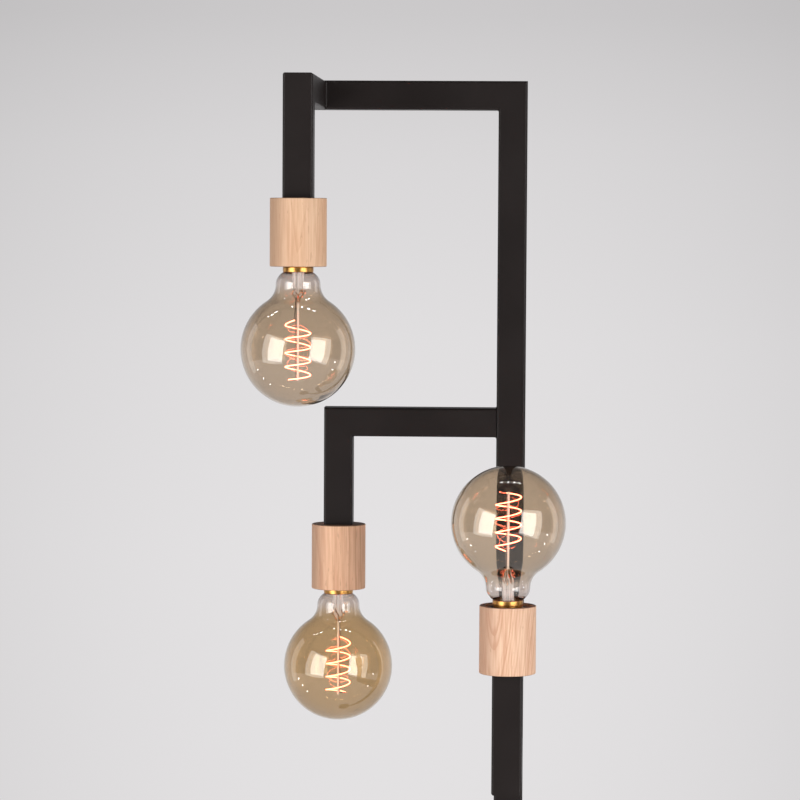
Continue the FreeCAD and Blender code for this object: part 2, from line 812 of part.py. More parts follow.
def screw_cap(lamp):
    cap = turned(f"{lamp}_screw_cap", [
        (CAP_INSIDE, CAP_BOTTOM),
        ("cap_radius", CAP_BOTTOM),
        ("cap_radius", "cap_length - skirt_length"),
        ("skirt_radius", "cap_length - skirt_length + (skirt_radius - cap_radius)"),
        ("skirt_radius", "cap_length"),
        (CAP_INSIDE, "cap_length"),
    ])
    thread_ridge(cap, "cap_radius - cap_wall / 2", "cap_radius + thread_height", "cap_thread_start",
                 "cap_thread_turns")
    return place_in_bulb(cap, lamp)


GLOBE = "(cap_length + globe_rise)"
SHOULDER = "(cap_length + shoulder_rise)"
SHOULDER_CORE = "(shoulder_radius - shoulder_round)"
# The hollow round between shoulder and globe touches both.
HOLLOW_HEIGHT = f"({GLOBE} - {SHOULDER})"
HOLLOW = (f"((shoulder_radius ^ 2 + {HOLLOW_HEIGHT} ^ 2 - globe_radius ^ 2)"
          " / (2 * (globe_radius - shoulder_radius)))")


def neck_meets_shoulder(inset):
    """The height where the straight neck runs into the round shoulder."""
    return (f"{SHOULDER} - sqrt((shoulder_round - {inset}) ^ 2"
            f" - (neck_radius - {inset} - {SHOULDER_CORE}) ^ 2)")


def globe_point(radius):
    """Where the hollow round runs into the globe, or into its inner face."""
    share = f"({radius}) / (globe_radius + {HOLLOW})"
    return (f"{share} * (shoulder_radius + {HOLLOW})", f"{GLOBE} - {share} * {HOLLOW_HEIGHT}")


def glass_globe(lamp):
    neck_end = "cap_length - neck_depth"
    return place_in_bulb(turned(f"{lamp}_glass_globe", [
        ("neck_radius", neck_end),
        ("neck_radius", neck_meets_shoulder("0"), "shoulder_round", 1),
        ("shoulder_radius", SHOULDER, HOLLOW, -1),
        (*globe_point("globe_radius"), "globe_radius", 1),
        ("0", f"{GLOBE} + globe_radius"),
        ("0", f"{GLOBE} + globe_radius - glass_wall", "globe_radius - glass_wall", -1),
        (*globe_point("globe_radius - glass_wall"), f"{HOLLOW} + glass_wall", 1),
        ("shoulder_radius - glass_wall", SHOULDER, "shoulder_round - glass_wall", -1),
        ("neck_radius - glass_wall", neck_meets_shoulder("glass_wall")),
        ("neck_radius - glass_wall", neck_end),
    ]), lamp)


STEM_BASE = "(cap_length + stem_rise)"
PRESS_START = f"({STEM_BASE} + stem_tube_length)"
PRESS_END = f"({PRESS_START} + press_length)"
FIRST_TURN = "(cap_length + filament_first_rise)"
FILAMENT_END = f"({FIRST_TURN} + filament_pitch * filament_turns)"
ROD_TOP = f"({FILAMENT_END} + rod_overshoot)"


def glass_stem(lamp):
    """The flared tube that closes the neck, its pressed end and the thin rod on it."""
    rim = "(neck_radius - glass_wall - flare_play)"
    foot = "(cap_length - neck_depth)"
    return place_in_bulb(turned(f"{lamp}_glass_stem", [
        (f"{rim} - stem_wall", foot),
        (rim, foot),
        (rim, f"{foot} + flare_rim"),
        ("stem_radius", STEM_BASE),
        ("stem_radius", PRESS_START),
        ("press_tip_radius", PRESS_END),
        ("rod_radius", f"{PRESS_END} + rod_radius"),
        ("rod_radius", f"{ROD_TOP} - rod_radius"),
        ("0", ROD_TOP),
        ("0", f"{PRESS_START} - stem_wall"),
        ("stem_radius - stem_wall", f"{PRESS_START} - 2 * stem_wall"),
        ("stem_radius - stem_wall", STEM_BASE),
    ]), lamp)


# Wound and bent wires

def polar(radius, angle, height):
    return Vector(radius * math.cos(angle), radius * math.sin(angle), height)


def filament_point(turn):
    """A place on the filament's line. Turn 0 is its first full-width tip."""
    angle = math.pi + 2 * math.pi * turn
    radius = number("filament_radius")
    height = number(FIRST_TURN)
    if turn < 0:
        done = 1 + turn / number("filament_entry_turns")
        entry = number("filament_entry_radius")
        radius = entry + (radius - entry) * math.sin(done * math.pi / 2)
        height -= number("filament_entry_rise") * (1 - done)
    else:
        height += number("filament_pitch") * turn
    return polar(radius, angle, height + number("filament_lean") * math.cos(angle))


# Turns, as shares of a whole one
SLOPE_STEP_SHARE = 1e-4
ARC_SHARE = 0.25
SAMPLE_SHARE = 0.025


def filament_direction(turn):
    ahead = filament_point(turn + SLOPE_STEP_SHARE)
    behind = filament_point(turn - SLOPE_STEP_SHARE)
    return (ahead - behind).normalize()


def arc_between(start, direction, end):
    """The arc that leaves the start in a direction and reaches the end."""
    chord = end - start
    side = chord - direction * chord.dot(direction)
    radius = chord.dot(chord) / (2 * side.Length)
    centre = start + side.normalize() * radius
    middle = (start + end) / 2 - centre
    return Part.Arc(start, centre + middle.normalize() * radius, end).toShape()


def biarc(start, leaving, end, arriving):
    """Two arcs that join smoothly between two places and their directions."""
    chord = end - start
    both = leaving + arriving
    spread = 2 * (1 - leaving.dot(arriving))
    reach = (math.sqrt(chord.dot(both) ** 2 + spread * chord.dot(chord)) - chord.dot(both)) / spread
    middle = ((start + leaving * reach) + (end - arriving * reach)) / 2
    second = arc_between(end, arriving * -1, middle)
    return [arc_between(start, leaving, middle), second.reversed()]


def swept_tube(edges, radius):
    """A round solid along joined edges."""
    path = Part.Wire(Part.sortEdges(edges)[0])
    first = path.OrderedEdges[0]
    start = first.valueAt(first.FirstParameter)
    direction = first.tangentAt(first.FirstParameter)
    if path.OrderedVertexes[0].Point.distanceToPoint(start) > radius:
        start = first.valueAt(first.LastParameter)
        direction = first.tangentAt(first.LastParameter) * -1
    section = Part.Wire(Part.makeCircle(radius, start, direction))
    shell = Part.BRepOffsetAPI.MakePipeShell(path)
    shell.add(section)
    shell.build()
    shell.makeSolid()
    return Part.Solid(shell.shape())


def filament_shape():
    """One unbroken wire, wound in quarter turns, with short straight ends."""
    turns = [-number("filament_entry_turns"), 0]
    while turns[-1] + ARC_SHARE < number("filament_turns"):
        turns.append(turns[-1] + ARC_SHARE)
    turns.append(number("filament_turns"))
    wire = number("filament_wire_radius")
    places = [filament_point(turn) for turn in turns]
    ways = [filament_direction(turn) for turn in turns]
    ways[0] = filament_direction(turns[0] + SLOPE_STEP_SHARE)
    edges = [Part.makeLine(places[0] - ways[0] * 2 * wire, places[0])]
    for index in range(len(turns) - 1):
        edges += biarc(places[index], ways[index], places[index + 1], ways[index + 1])
    edges.append(Part.makeLine(places[-1], places[-1] + ways[-1] * 2 * wire))
    return swept_tube(edges, wire)


def least_gap_to_itself():
    """The filament's least gap between parts of its line over half a turn apart."""
    count = int(number("filament_turns") / SAMPLE_SHARE)
    half_turn = round(1 / SAMPLE_SHARE / 2)
    points = [filament_point(index * SAMPLE_SHARE) for index in range(count + 1)]
    gaps = []
    for index, point in enumerate(points):
        for other in points[index + half_turn:]:
            gaps.append(point.distanceToPoint(other))
    return min(gaps) - 2 * number("filament_wire_radius")


VOLUME_TOLERANCE_SHARE = 0.01


def bent_tube(points, bends, radius):
    """A round solid along straight runs with a tangent arc at each inner point."""
    edges = []
    line_start = points[0]
    for before, corner, after, bend in zip(points, points[1:], points[2:], bends):
        to_corner = (corner - before).normalize()
        from_corner = (after - corner).normalize()
        half_turn = to_corner.getAngle(from_corner) / 2
        back = bend * math.tan(half_turn)
        arc_start = corner - to_corner * back
        arc_end = corner + from_corner * back
        middle = (arc_start + arc_end) / 2
        inward = (middle - corner).normalize()
        top = corner + inward * (bend / math.cos(half_turn) - bend)
        edges.append(Part.makeLine(line_start, arc_start))
        edges.append(Part.Arc(arc_start, top, arc_end).toShape())
        line_start = arc_end
    edges.append(Part.makeLine(line_start, points[-1]))
    solid = swept_tube(edges, radius)
    length = sum(edge.Length for edge in edges)
    ratio = solid.Volume / (math.pi * radius ** 2 * length)
    if abs(ratio - 1) > VOLUME_TOLERANCE_SHARE:
        raise RuntimeError(f"a bent tube holds {ratio:.3f} of its section times its length")
    return solid


def shape_node(label, shape):
    feature = doc.addObject("Part::Feature", label)
    feature.Label = label
    feature.Shape = shape
    return feature


def place_wires(label, shape, lamp):
    """The middle bulb's wires face the other way from those of the other two."""
    own_turn = number("middle_mount_turn") if lamp == "middle" else 0
    wires = shape_node(label, shape)
    place_in_lamp(wires, lamp, TIP, own_turn=own_turn)
    return node(wires)


def filament(lamp):
    return place_wires(f"{lamp}_filament", filament_shape(), lamp)


def lead_wires(lamp):
    """Two wires up the stem, and two from its press to the filament's ends."""
    wire = number("wire_radius")
    gap = number("wire_clearance")
    glowing = number("filament_wire_radius")
    entry = filament_point(-number("filament_entry_turns"))
    last = filament_point(number("filament_turns"))
    press_start = number(PRESS_START)
    press_end = number(PRESS_END)
    # On the cone of the press, halfway up
    cone_radius = (number("stem_radius") + number("press_tip_radius")) / 2 + wire + gap
    cone_height = (press_start + press_end) / 2
    beside_rod = number("press_tip_radius") + wire + gap
    solids = []
    first_angle = math.atan2(entry.y, entry.x)
    entry_radius = number("filament_entry_radius")
    solids.append(bent_tube([
        polar(cone_radius, first_angle, cone_height),
        polar(entry_radius, first_angle, press_end + entry_radius),
        polar(entry_radius, first_angle, entry.z - glowing - wire / 2),
    ], [entry_radius], wire))
    last_angle = math.atan2(last.y, last.x)
    solids.append(bent_tube([
        polar(cone_radius, last_angle, cone_height),
        polar(beside_rod, last_angle, press_end),
        polar(beside_rod, last_angle, last.z),
        polar(number("filament_radius") - glowing - wire / 2, last_angle, last.z),
    ], [beside_rod, beside_rod], wire))
    low = number("button_height + insulator_height") + gap
    high = press_start - 3 * number("stem_wall")
    for side in (-1, 1):
        foot = Vector(side * number("inner_wire_offset"), 0, low)
        solids.append(Part.makeCylinder(wire, high - low, foot))
    return place_wires(f"{lamp}_lead_wires", Part.makeCompound(solids), lamp)


for lamp in LAMPS:
    wood_cup(lamp)
group("tube_end_plates", [end_plate(lamp) for lamp in LAMPS])
group("threaded_nipples", [nipple(lamp) for lamp in LAMPS])
group("lock_washers", [lock_washer(lamp) for lamp in LAMPS])
group("lock_nuts", [lock_nut(lamp) for lamp in LAMPS])
group("holder_caps", [holder_cap(lamp) for lamp in LAMPS])
group("holder_bodies", [holder_body(lamp) for lamp in LAMPS])
group("terminal_screws", [terminal_screw(lamp, side) for lamp in LAMPS for side in ("-", "")])
group("contact_leaves", [contact_leaf(lamp) for lamp in LAMPS])
group("screw_shells", [screw_shell(lamp) for lamp in LAMPS])
for lamp in LAMPS:
    tip_contact(lamp)
    tip_insulator(lamp)
    screw_cap(lamp)
    glass_globe(lamp)
    glass_stem(lamp)
    filament(lamp)
    lead_wires(lamp)
print(f"filament, least gap to itself {least_gap_to_itself():.2f} mm")


# Cables inside the tubes: one trunk, three leads and the caps that splice them.
# The offsets keep the cables side by side in the mast. Each is a share of the cable's
# own radius, and the splice caps' are shares of theirs.

TRUNK_SHARES = {"x": 1.55, "y": 1.85}
TOP_LEAD_SHARE = 2.15
LOW_LEAD_SHARE = 1.1
SPLICE_SHARES = {"first": (0.6, 1.3), "second": (-0.5, -1)}

TRUNK_X = f"trunk_radius * {TRUNK_SHARES['x']}"
TRUNK_Y = f"trunk_radius * {TRUNK_SHARES['y']}"
TOP_LEAD_Y = f"lead_radius * {TOP_LEAD_SHARE}"
LOW_LEAD_SIDE = f"lead_radius * {LOW_LEAD_SHARE}"
SPLICE_BASE = f"({STUB_BOTTOM} + splice_above_stub)"
SPLICE_TOP = f"({SPLICE_BASE} + splice_length)"


def spot(x, y, z):
    return Vector(number(x), number(y), number(z))


def lead_end(lamp):
    """The place in the holder's cap where a lead is stripped."""
    lamp_x, lamp_y, tube_end, sense = LAMPS[lamp]
    reach = f"({HOLDER_BACK} + holder_cap_wall + nipple_reach + holder_skirt)"
    return spot(lamp_x, lamp_y, f"{tube_end} {'+' if sense > 0 else '-'} {reach}")


def cable(label, points, radius):
    bends = [number("lead_bend")] * (len(points) - 2)
    for bend in bends:
        print(f"{label}, bend radius {bend:.1f} mm")
    return node(shape_node(label, bent_tube(points, bends, number(radius))))


cable("trunk_cable", [
    spot("0", "0", "gland_height + trunk_above_gland"),
    spot("0", "0", f"{HIGH_JOINT} + coupler_length / 2"),
    spot(TRUNK_X, TRUNK_Y, f"{SPLICE_BASE} - coupler_length / 2"),
    spot(TRUNK_X, TRUNK_Y, f"{SPLICE_BASE} - splice_gap"),
], "trunk_radius")

TOP_TUBE = f"lamp_height - {HALF}"
cable("top_lead", [
    spot("0", TOP_LEAD_Y, f"{SPLICE_TOP} + splice_gap"),
    spot("0", TOP_LEAD_Y, TOP_TUBE),
    spot("-top_reach", TOP_LEAD_Y, TOP_TUBE),
    spot("-top_reach", "-plane_gap", TOP_TUBE),
    lead_end("top"),
], "lead_radius")

MIDDLE_TUBE = f"{MIDDLE_BAR_TOP} - {HALF}"
cable("middle_lead", [
    spot(LOW_LEAD_SIDE, "0", f"{SPLICE_TOP} + splice_gap"),
    spot(LOW_LEAD_SIDE, "0", MIDDLE_TUBE),
    spot("-middle_reach", "0", MIDDLE_TUBE),
    lead_end("middle"),
], "lead_radius")

STUB_TUBE = f"{STUB_BOTTOM} + {HALF}"
cable("riser_lead", [
    spot(f"-({LOW_LEAD_SIDE})", LOW_LEAD_SIDE, f"{SPLICE_BASE} - splice_gap"),
    spot(f"-({LOW_LEAD_SIDE})", LOW_LEAD_SIDE, STUB_TUBE),
    spot("0", "-plane_gap", STUB_TUBE),
    lead_end("riser"),
], "lead_radius")

splices = []
for name, (x_share, y_share) in SPLICE_SHARES.items():
    cap = turned(f"{name}_splice_cap", [
        ("0", "0"),
        ("splice_radius", "0"),
        ("splice_radius", "splice_length - splice_radius / 2"),
        ("splice_radius / 2", "splice_length"),
        ("0", "splice_length"),
    ])
    place(cap, f"splice_radius * {x_share}", f"splice_radius * {y_share}", SPLICE_BASE)
    splices.append(cap)
group("splice_caps", splices)


# Checks, then the files

doc.recompute()
for thing in doc.Objects:
    if "Invalid" in thing.State or "Error" in thing.State:
        raise RuntimeError(f"{thing.Label} failed: {thing.State}")
    if thing.TypeId == "PartDesign::Pocket" and thing.BaseFeature.Shape.Volume <= thing.Shape.Volume:
        raise RuntimeError(f"{thing.Label} cuts nothing")
for piece in nodes:
    if piece.Shape.isNull() or not piece.Shape.isValid():
        raise RuntimeError(f"{piece.Label} has no valid shape")

os.makedirs("parts", exist_ok=True)
for piece in nodes:
    piece.Shape.exportStep(f"parts/{piece.Label}.step")
    box = piece.Shape.BoundBox
    print(f"{piece.Label:22s} {len(piece.Shape.Solids)} solids {piece.Shape.Volume:12.1f} mm3"
          f"  z {box.ZMin:7.1f} to {box.ZMax:7.1f}")
print(f"{len(nodes)} sub-parts")
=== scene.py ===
# %% [markdown]
# # A floor lamp with three globe bulbs
# The lamp is a frame of square black tube on a tall mast. It carries three turned wooden
# cups, and each cup holds an amber globe bulb with a wound filament. Two bulbs hang and
# one stands. The tubes, fittings and wires come from a packed CAD model, and this lesson
# dresses that model: it lights it, paints it, and remakes in smooth mesh what the eye
# rests on, which is the wood, the glass and the glowing wire.

# %% Load the frame
import json
import math
import random

import bmesh
import bpy
from mathutils import Matrix, Vector


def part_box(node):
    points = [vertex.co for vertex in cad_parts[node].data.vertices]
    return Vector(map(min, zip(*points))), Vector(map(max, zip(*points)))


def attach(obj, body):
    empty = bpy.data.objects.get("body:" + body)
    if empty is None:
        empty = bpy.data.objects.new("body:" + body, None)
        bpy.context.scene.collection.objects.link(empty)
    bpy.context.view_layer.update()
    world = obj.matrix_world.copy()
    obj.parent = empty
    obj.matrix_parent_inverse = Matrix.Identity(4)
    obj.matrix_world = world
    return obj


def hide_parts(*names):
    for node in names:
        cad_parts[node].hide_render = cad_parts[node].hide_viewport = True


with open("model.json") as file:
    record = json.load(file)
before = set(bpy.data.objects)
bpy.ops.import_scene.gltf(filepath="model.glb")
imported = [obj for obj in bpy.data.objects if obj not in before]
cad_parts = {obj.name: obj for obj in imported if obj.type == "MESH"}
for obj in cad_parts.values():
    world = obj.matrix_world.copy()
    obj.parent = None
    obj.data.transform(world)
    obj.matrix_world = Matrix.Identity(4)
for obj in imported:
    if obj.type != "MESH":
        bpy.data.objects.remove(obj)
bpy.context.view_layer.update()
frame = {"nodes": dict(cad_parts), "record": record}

# %% [markdown]
# ## The camera
# The picture shows the lamp's upper part from the front, a little from above, through a
# long lens. Its place and its three angles were found by matching the edges of the tubes,
# so they are plain numbers here. A camera looks along its own -Z, so its rotation is made
# from the three directions right, up and backwards.

# %% Camera
CAMERA_PLACE = Vector((0.0263, -2.79075, 1.4423))
YAW = math.radians(2.528)
PITCH = math.radians(3.268)
ROLL = math.radians(0.323)
FOCAL_PIXELS = 3205.3
PICTURE_PIXELS = 800
SENSOR_WIDTH = 36

forward = Vector((
    -math.sin(YAW) * math.cos(PITCH), math.cos(YAW) * math.cos(PITCH), -math.sin(PITCH)))
level_right = forward.cross(Vector((0, 0, 1))).normalized()
level_up = level_right.cross(forward)
right = level_right * math.cos(ROLL) + level_up * math.sin(ROLL)
up = level_up * math.cos(ROLL) - level_right * math.sin(ROLL)
facing = Matrix((right, up, -forward)).transposed().to_4x4()

camera = bpy.data.objects.new("camera", bpy.data.cameras.new("camera"))
camera.data.sensor_width = SENSOR_WIDTH
camera.data.lens = FOCAL_PIXELS * SENSOR_WIDTH / PICTURE_PIXELS
camera.data.clip_end = 100
camera.matrix_world = Matrix.Translation(CAMERA_PLACE) @ facing
bpy.context.scene.collection.objects.link(camera)
bpy.context.scene.camera = camera
bpy.context.scene.view_settings.view_transform = "Standard"
print(f"lens {camera.data.lens:.1f} mm")

# %% [markdown]
# ## Shader sums as plain Python
# A material is a tree of nodes, and most of its nodes do sums. They could be wired up one
# by one, but sums are easier to read as sums. So a node's output is wrapped in a small
# class, and `1 - mask` adds the Math node for it.

# %% Signal
class Signal:
    """A node's output that can stand in a sum."""

    def __init__(self, paint, socket):
        self.paint = paint
        self.socket = socket

    def __add__(self, other):
        return self.paint.maths("ADD", self, other)

    def __sub__(self, other):
        return self.paint.maths("SUBTRACT", self, other)

    def __rsub__(self, other):
        return self.paint.maths("SUBTRACT", other, self)

    def __mul__(self, other):
        return self.paint.maths("MULTIPLY", self, other)

    __radd__ = __add__
    __rmul__ = __mul__


print("signals add, subtract and multiply")

# %% [markdown]
# Any other node is added by one method of a paint. It sets the node's settings first and
# then its sockets, because some settings change which sockets there are. The short
# methods after it are the steps that come up in many finishes.

# %% Paint
def set_stops(elements, stops):
    """Give a ramp its stops, from the first to the last."""
    elements[0].position = stops[0][0]
    elements[1].position = stops[-1][0]
    for position, _ in stops[1:-1]:
        elements.new(position)
    for element, (_, colour) in zip(elements, stops):
        element.color = colour


class Paint:
    """The node tree of a material or the world."""

    def __init__(self, owner, output="OutputMaterial"):
        owner.use_nodes = True
        self.owner = owner
        self.tree = owner.node_tree
        self.tree.nodes.clear()
        self.output = self.tree.nodes.new(f"ShaderNode{output}")

    def node(self, kind, settings=None, sockets=None, output=0):
        made = self.tree.nodes.new(f"ShaderNode{kind}")
        for name, value in (settings or {}).items():
            if name == "stops":
                set_stops(made.color_ramp.elements, value)
            else:
                setattr(made, name, value)
        for name, value in (sockets or {}).items():
            if isinstance(value, Signal):
                self.tree.links.new(value.socket, made.inputs[name])
            else:
                made.inputs[name].default_value = value
        return Signal(self, made.outputs[output])

    def maths(self, operation, first, second=0.0):
        return self.node("Math", {"operation": operation}, {0: first, 1: second})

    def axis(self, vector, name):
        """One of a vector's three numbers, by its name X, Y or Z."""
        return self.node("SeparateXYZ", None, {"Vector": vector}, output=name)

    def ramp(self, value, stops):
        """A colour that changes with a value, between stops of (value, colour)."""
        return self.node("ValToRGB", {"stops": stops}, {"Fac": value})

    def step(self, value, low, high):
        """0 below the low value, 1 above the high one, smooth in between."""
        sockets = {"Value": value, "From Min": low, "From Max": high}
        return self.node("MapRange", {"interpolation_type": "SMOOTHSTEP"}, sockets)

    def blend(self, share, first, second, blend_type="MIX"):
        """Colours mixed by a share of the second."""
        settings = {"data_type": "RGBA", "blend_type": blend_type}
        return self.node("Mix", settings, {0: share, 6: first, 7: second}, output=2)

    def noise(self, point, scale, detail=2.0, roughness=0.5):
        sockets = {"Vector": point, "Scale": scale, "Detail": detail, "Roughness": roughness}
        return self.node("TexNoise", None, sockets)

    def place(self, move=(0, 0, 0), stretch=(1, 1, 1)):
        """The place on the piece, in metres, moved and stretched for a pattern."""
        here = self.node("TexCoord", output="Object")
        return self.node("Mapping", None, {"Vector": here, "Location": move, "Scale": stretch})

    def bump(self, height, strength, distance):
        sockets = {"Height": height, "Strength": strength, "Distance": distance}
        return self.node("Bump", None, sockets)

    def watched(self):
        """1 where the camera, metal or glass looks, and 0 for scattered light."""
        kinds = ("Camera", "Glossy", "Transmission")
        rays = sum((self.node("LightPath", output=f"Is {kind} Ray") for kind in kinds), 0.0)
        return self.maths("MINIMUM", rays, 1.0)

    def principled(self, **sockets):
        named = {name.replace("_", " "): value for name, value in sockets.items()}
        return self.node("BsdfPrincipled", None, named)

    def cover(self, shader):
        self.tree.links.new(shader.socket, self.output.inputs["Surface"])
        return self.owner


def new_material(name):
    return Paint(bpy.data.materials.new(name))


print("paints have", len([name for name in vars(Paint) if name[0] != "_"]), "methods")

# %% [markdown]
# Colours that were judged are written as they look on a screen, from 0 to 255. The renderer
# counts light instead, where half the light looks like far more than mid grey, so one function
# turns the first into the second.

# %% Colours
def linear(red, green, blue):
    """A screen colour from 0 to 255 as the renderer's own light values."""
    shares = [channel / 255 for channel in (red, green, blue)]
    light = [s / 12.92 if s <= 0.04045 else ((s + 0.055) / 1.055) ** 2.4 for s in shares]
    return (*light, 1.0)


def grey(value):
    return (value, value, value, 1.0)


print("mid grey is", round(linear(128, 128, 128)[0], 3))

# %% [markdown]
# ## The room
# The lamp stands in a pale studio whose wall darkens softly towards the ceiling. The wall
# could be a mesh, but the other views look from every side, so it is the world instead:
# its colour depends only on how steeply a ray looks up or down, with a soft pool of light
# behind the lamp. The camera, metal and glass see that wall as it is, and everything else
# gets a weaker, even fill from it. What mirrors the room in front of or above the lamp
# sees it dim, because that part of a studio is dark: without that, glass looks milky. A
# ray was mirrored if it bounced more often than it passed through glass, where the world
# itself counts as one more bounce.

# %% World
FILL = 0.25
DIM = 0.25
BEHIND_EDGES = (0.0, 0.7)
ABOVE_EDGES = (0.15, 0.6)
WALL_STOPS = (
    (0.300, linear(223, 221, 222)),
    (0.412, linear(227, 225, 226)),
    (0.448, linear(228, 226, 227)),
    (0.479, linear(225, 223, 224)),
    (0.510, linear(217, 215, 216)),
    (0.524, linear(209, 207, 208)),
    (0.532, linear(203, 201, 202)),
    (0.700, linear(172, 170, 172)),
)
POOL_MIDDLE = -0.044
POOL_FALL = 6.2
POOL_LEAST = 0.12


def pool_of_light(paint, heading):
    """The wall's light: full in the pool's middle, and a little less to its sides."""
    aside = heading - POOL_MIDDLE
    return 1 - paint.maths("MINIMUM", aside * aside * POOL_FALL, POOL_LEAST)


world = bpy.data.worlds.new("studio")
bpy.context.scene.world = world
room = Paint(world, "OutputWorld")
toward = room.node("TexCoord")
x, y, z = (room.axis(toward, name) for name in "XYZ")
wall = room.ramp(z * 0.5 + 0.5, WALL_STOPS)
unlit = room.maths("MAXIMUM", 1 - room.step(y, *BEHIND_EDGES), room.step(z, *ABOVE_EDGES))
bounces = room.node("LightPath", output="Ray Depth")
passes = room.node("LightPath", output="Transmission Depth")
mirrored = room.maths("MINIMUM", room.maths("MAXIMUM", bounces - passes - 1, 0.0), 1.0) * unlit
fill = room.watched() * (1 - FILL) + FILL
strength = fill * pool_of_light(room, x) * (1 - mirrored * (1 - DIM))
room.cover(room.node("Background", None, {"Color": wall, "Strength": strength}))
print("the wall has", len(WALL_STOPS), "tones")

# %% [markdown]
# The light comes from two tall softboxes in front, left and right of the camera, each
# brighter in its core than at its edge. The globes mirror them as the bright patches near
# each filament, so their angles and sizes are read from those patches. Two paler panels
# stand at the sides and give the soft bands near the globes' rims. A camera never sees a
# lamp's panel here, but glass and brass do.

# %% Softboxes
LAMP_MIDDLE = Vector((-0.09, -0.1, 1.2))
BOX_HEIGHT = 1.3
# name, degrees round the lamp, distance, width, height, radiance, roll in degrees
SOFTBOXES = (
    ("softbox_left", -48.5, 2.4, 1.95, 2.1, 1.7, -9),
    ("softbox_core_left", -42, 2.38, 1.3, 1.72, 3.0, -9),
    ("softbox_right", 48.5, 2.4, 1.95, 2.1, 1.7, -11),
    ("softbox_core_right", 42, 2.38, 1.3, 1.72, 3.0, -11),
    ("side_panel_left", -108, 2.4, 0.7, 2.4, 0.62, 0),
    ("side_panel_right", 108, 2.4, 0.7, 2.4, 0.62, 0),
)


def panel(name, place, width, tall, radiance, roll=0.0):
    """A flat lamp that faces the middle of the floor lamp's upper part."""
    light = bpy.data.lights.new(name, "AREA")
    light.shape = "RECTANGLE"
    light.size, light.size_y = width, tall
    light.energy = radiance * math.pi * width * tall
    holder = bpy.data.objects.new(name, light)
    aim = (LAMP_MIDDLE - Vector(place)).to_track_quat("-Z", "Y").to_matrix().to_4x4()
    rolled = Matrix.Rotation(math.radians(roll), 4, "Z")
    holder.matrix_world = Matrix.Translation(place) @ aim @ rolled
    holder.visible_camera = False
    bpy.context.scene.collection.objects.link(holder)


def around(degrees, distance, height):
    """A place round the lamp: 0 degrees is in front, positive to the right."""
    angle = math.radians(degrees)
    right_of = LAMP_MIDDLE.x + distance * math.sin(angle)
    return (right_of, LAMP_MIDDLE.y - distance * math.cos(angle), height)


for name, degrees, distance, width, tall, radiance, roll in SOFTBOXES:
    panel(name, around(degrees, distance, BOX_HEIGHT), width, tall, radiance, roll)
print(len(SOFTBOXES), "large lamps")

# %% [markdown]
# The small dashes in the glass are a rail of short strips overhead and a few spots. The
# ball's front mirrors them upright, and its hollow back upside down. A spot's place
# follows from where its dash is, as shares of the ball's radius across and up: that gives
# the ball's slope there, and the slope gives the mirrored ray. The spots that shine from
# below stand nearer, so that all of them stay well above the floor, and a nearer one is
# smaller, so that its dash isn't.

# %% Dashes
RAIL_PLACES = (-1.5, -1.2, -0.38, -0.02, 0.27, 0.53)
RAIL_DEPTH = 0.02
RAIL_HEIGHT = 3.05
RAIL_SIZE = (0.035, 0.12)
RAIL_RADIANCE = 60
DASHES = (
    (-0.68, -0.29), (-0.6, -0.41), (-0.51, -0.5), (0.66, -0.19), (0.61, -0.32), (0.52, -0.44),
    (-0.5, 0.55),
)
SPOT_REACH = 2.3
SPOT_DROP = 0.8
SPOT_WIDTH = 0.05
SPOT_TALL = 0.015
SPOT_RADIANCE = 32
SPOT_ROLL = 20

for index, along in enumerate(RAIL_PLACES):
    panel(f"rail_{index}", (along, RAIL_DEPTH, RAIL_HEIGHT), *RAIL_SIZE, RAIL_RADIANCE)
for index, (across, rise) in enumerate(DASHES):
    slope = math.sqrt(1 - across ** 2 - rise ** 2)
    toward_spot = Vector((across, -slope, rise)) * 2 * slope + Vector((0, 1, 0))
    reach = min(SPOT_REACH, SPOT_DROP / max(-toward_spot.z, 0.01))
    spot_place = LAMP_MIDDLE + toward_spot * reach
    panel(f"spot_{index}", spot_place, SPOT_WIDTH * reach, SPOT_TALL * reach,
          SPOT_RADIANCE, SPOT_ROLL)
print(len(bpy.data.lights), "lamps in all")

# %% [markdown]
# The floor is a pale sheet. A flat sheet would end in a hard line against the world, so
# its paint changes with the distance from the mast: near the lamp it is a matt floor that
# takes a shadow, and far out it takes the wall's own tone, which is darker to the sides
# there too. What looks straight at it gets most of that tone everywhere, which keeps it
# pale without more light on the lamp. The pool of light is spread over the floor so that
# it meets the wall's pool for someone who stands some six metres away.

# %% Floor
FLOOR_HALF = 5.0
FLOOR_PALENESS = 0.72
POOL_SPREAD = 0.43
FADE_START = 0.7
FADE_END = 2.2

sheet = bmesh.new()
bmesh.ops.create_grid(sheet, x_segments=1, y_segments=1, size=FLOOR_HALF)
floor_mesh = bpy.data.meshes.new("floor")
sheet.to_mesh(floor_mesh)
sheet.free()
floor = bpy.data.objects.new("floor", floor_mesh)
bpy.context.scene.collection.objects.link(floor)

ground = new_material("pale_floor")
spot = ground.place()
from_mast = ground.node("VectorMath", {"operation": "LENGTH"}, {0: spot}, output="Value")
heading = ground.axis(ground.node("VectorMath", {"operation": "NORMALIZE"}, {0: spot}), "X")
speckle = ground.blend(ground.noise(spot, 60.0, 4.0), grey(0.71), grey(0.77))
matt = ground.principled(Base_Color=speckle, Roughness=0.8)
far_light = pool_of_light(ground, heading * POOL_SPREAD)
far_colour = ground.blend(1.0, linear(226, 224, 225), far_light, "MULTIPLY")
far_tone = ground.node("Emission", None, {"Color": far_colour})
far_share = ground.step(from_mast, FADE_START, FADE_END)
fade = ground.maths("MAXIMUM", far_share, ground.watched() * FLOOR_PALENESS)
floor_mesh.materials.append(
    ground.cover(ground.node("MixShader", None, {0: fade, 1: matt, 2: far_tone})))
print(f"floor {2 * FLOOR_HALF:.0f} m square")

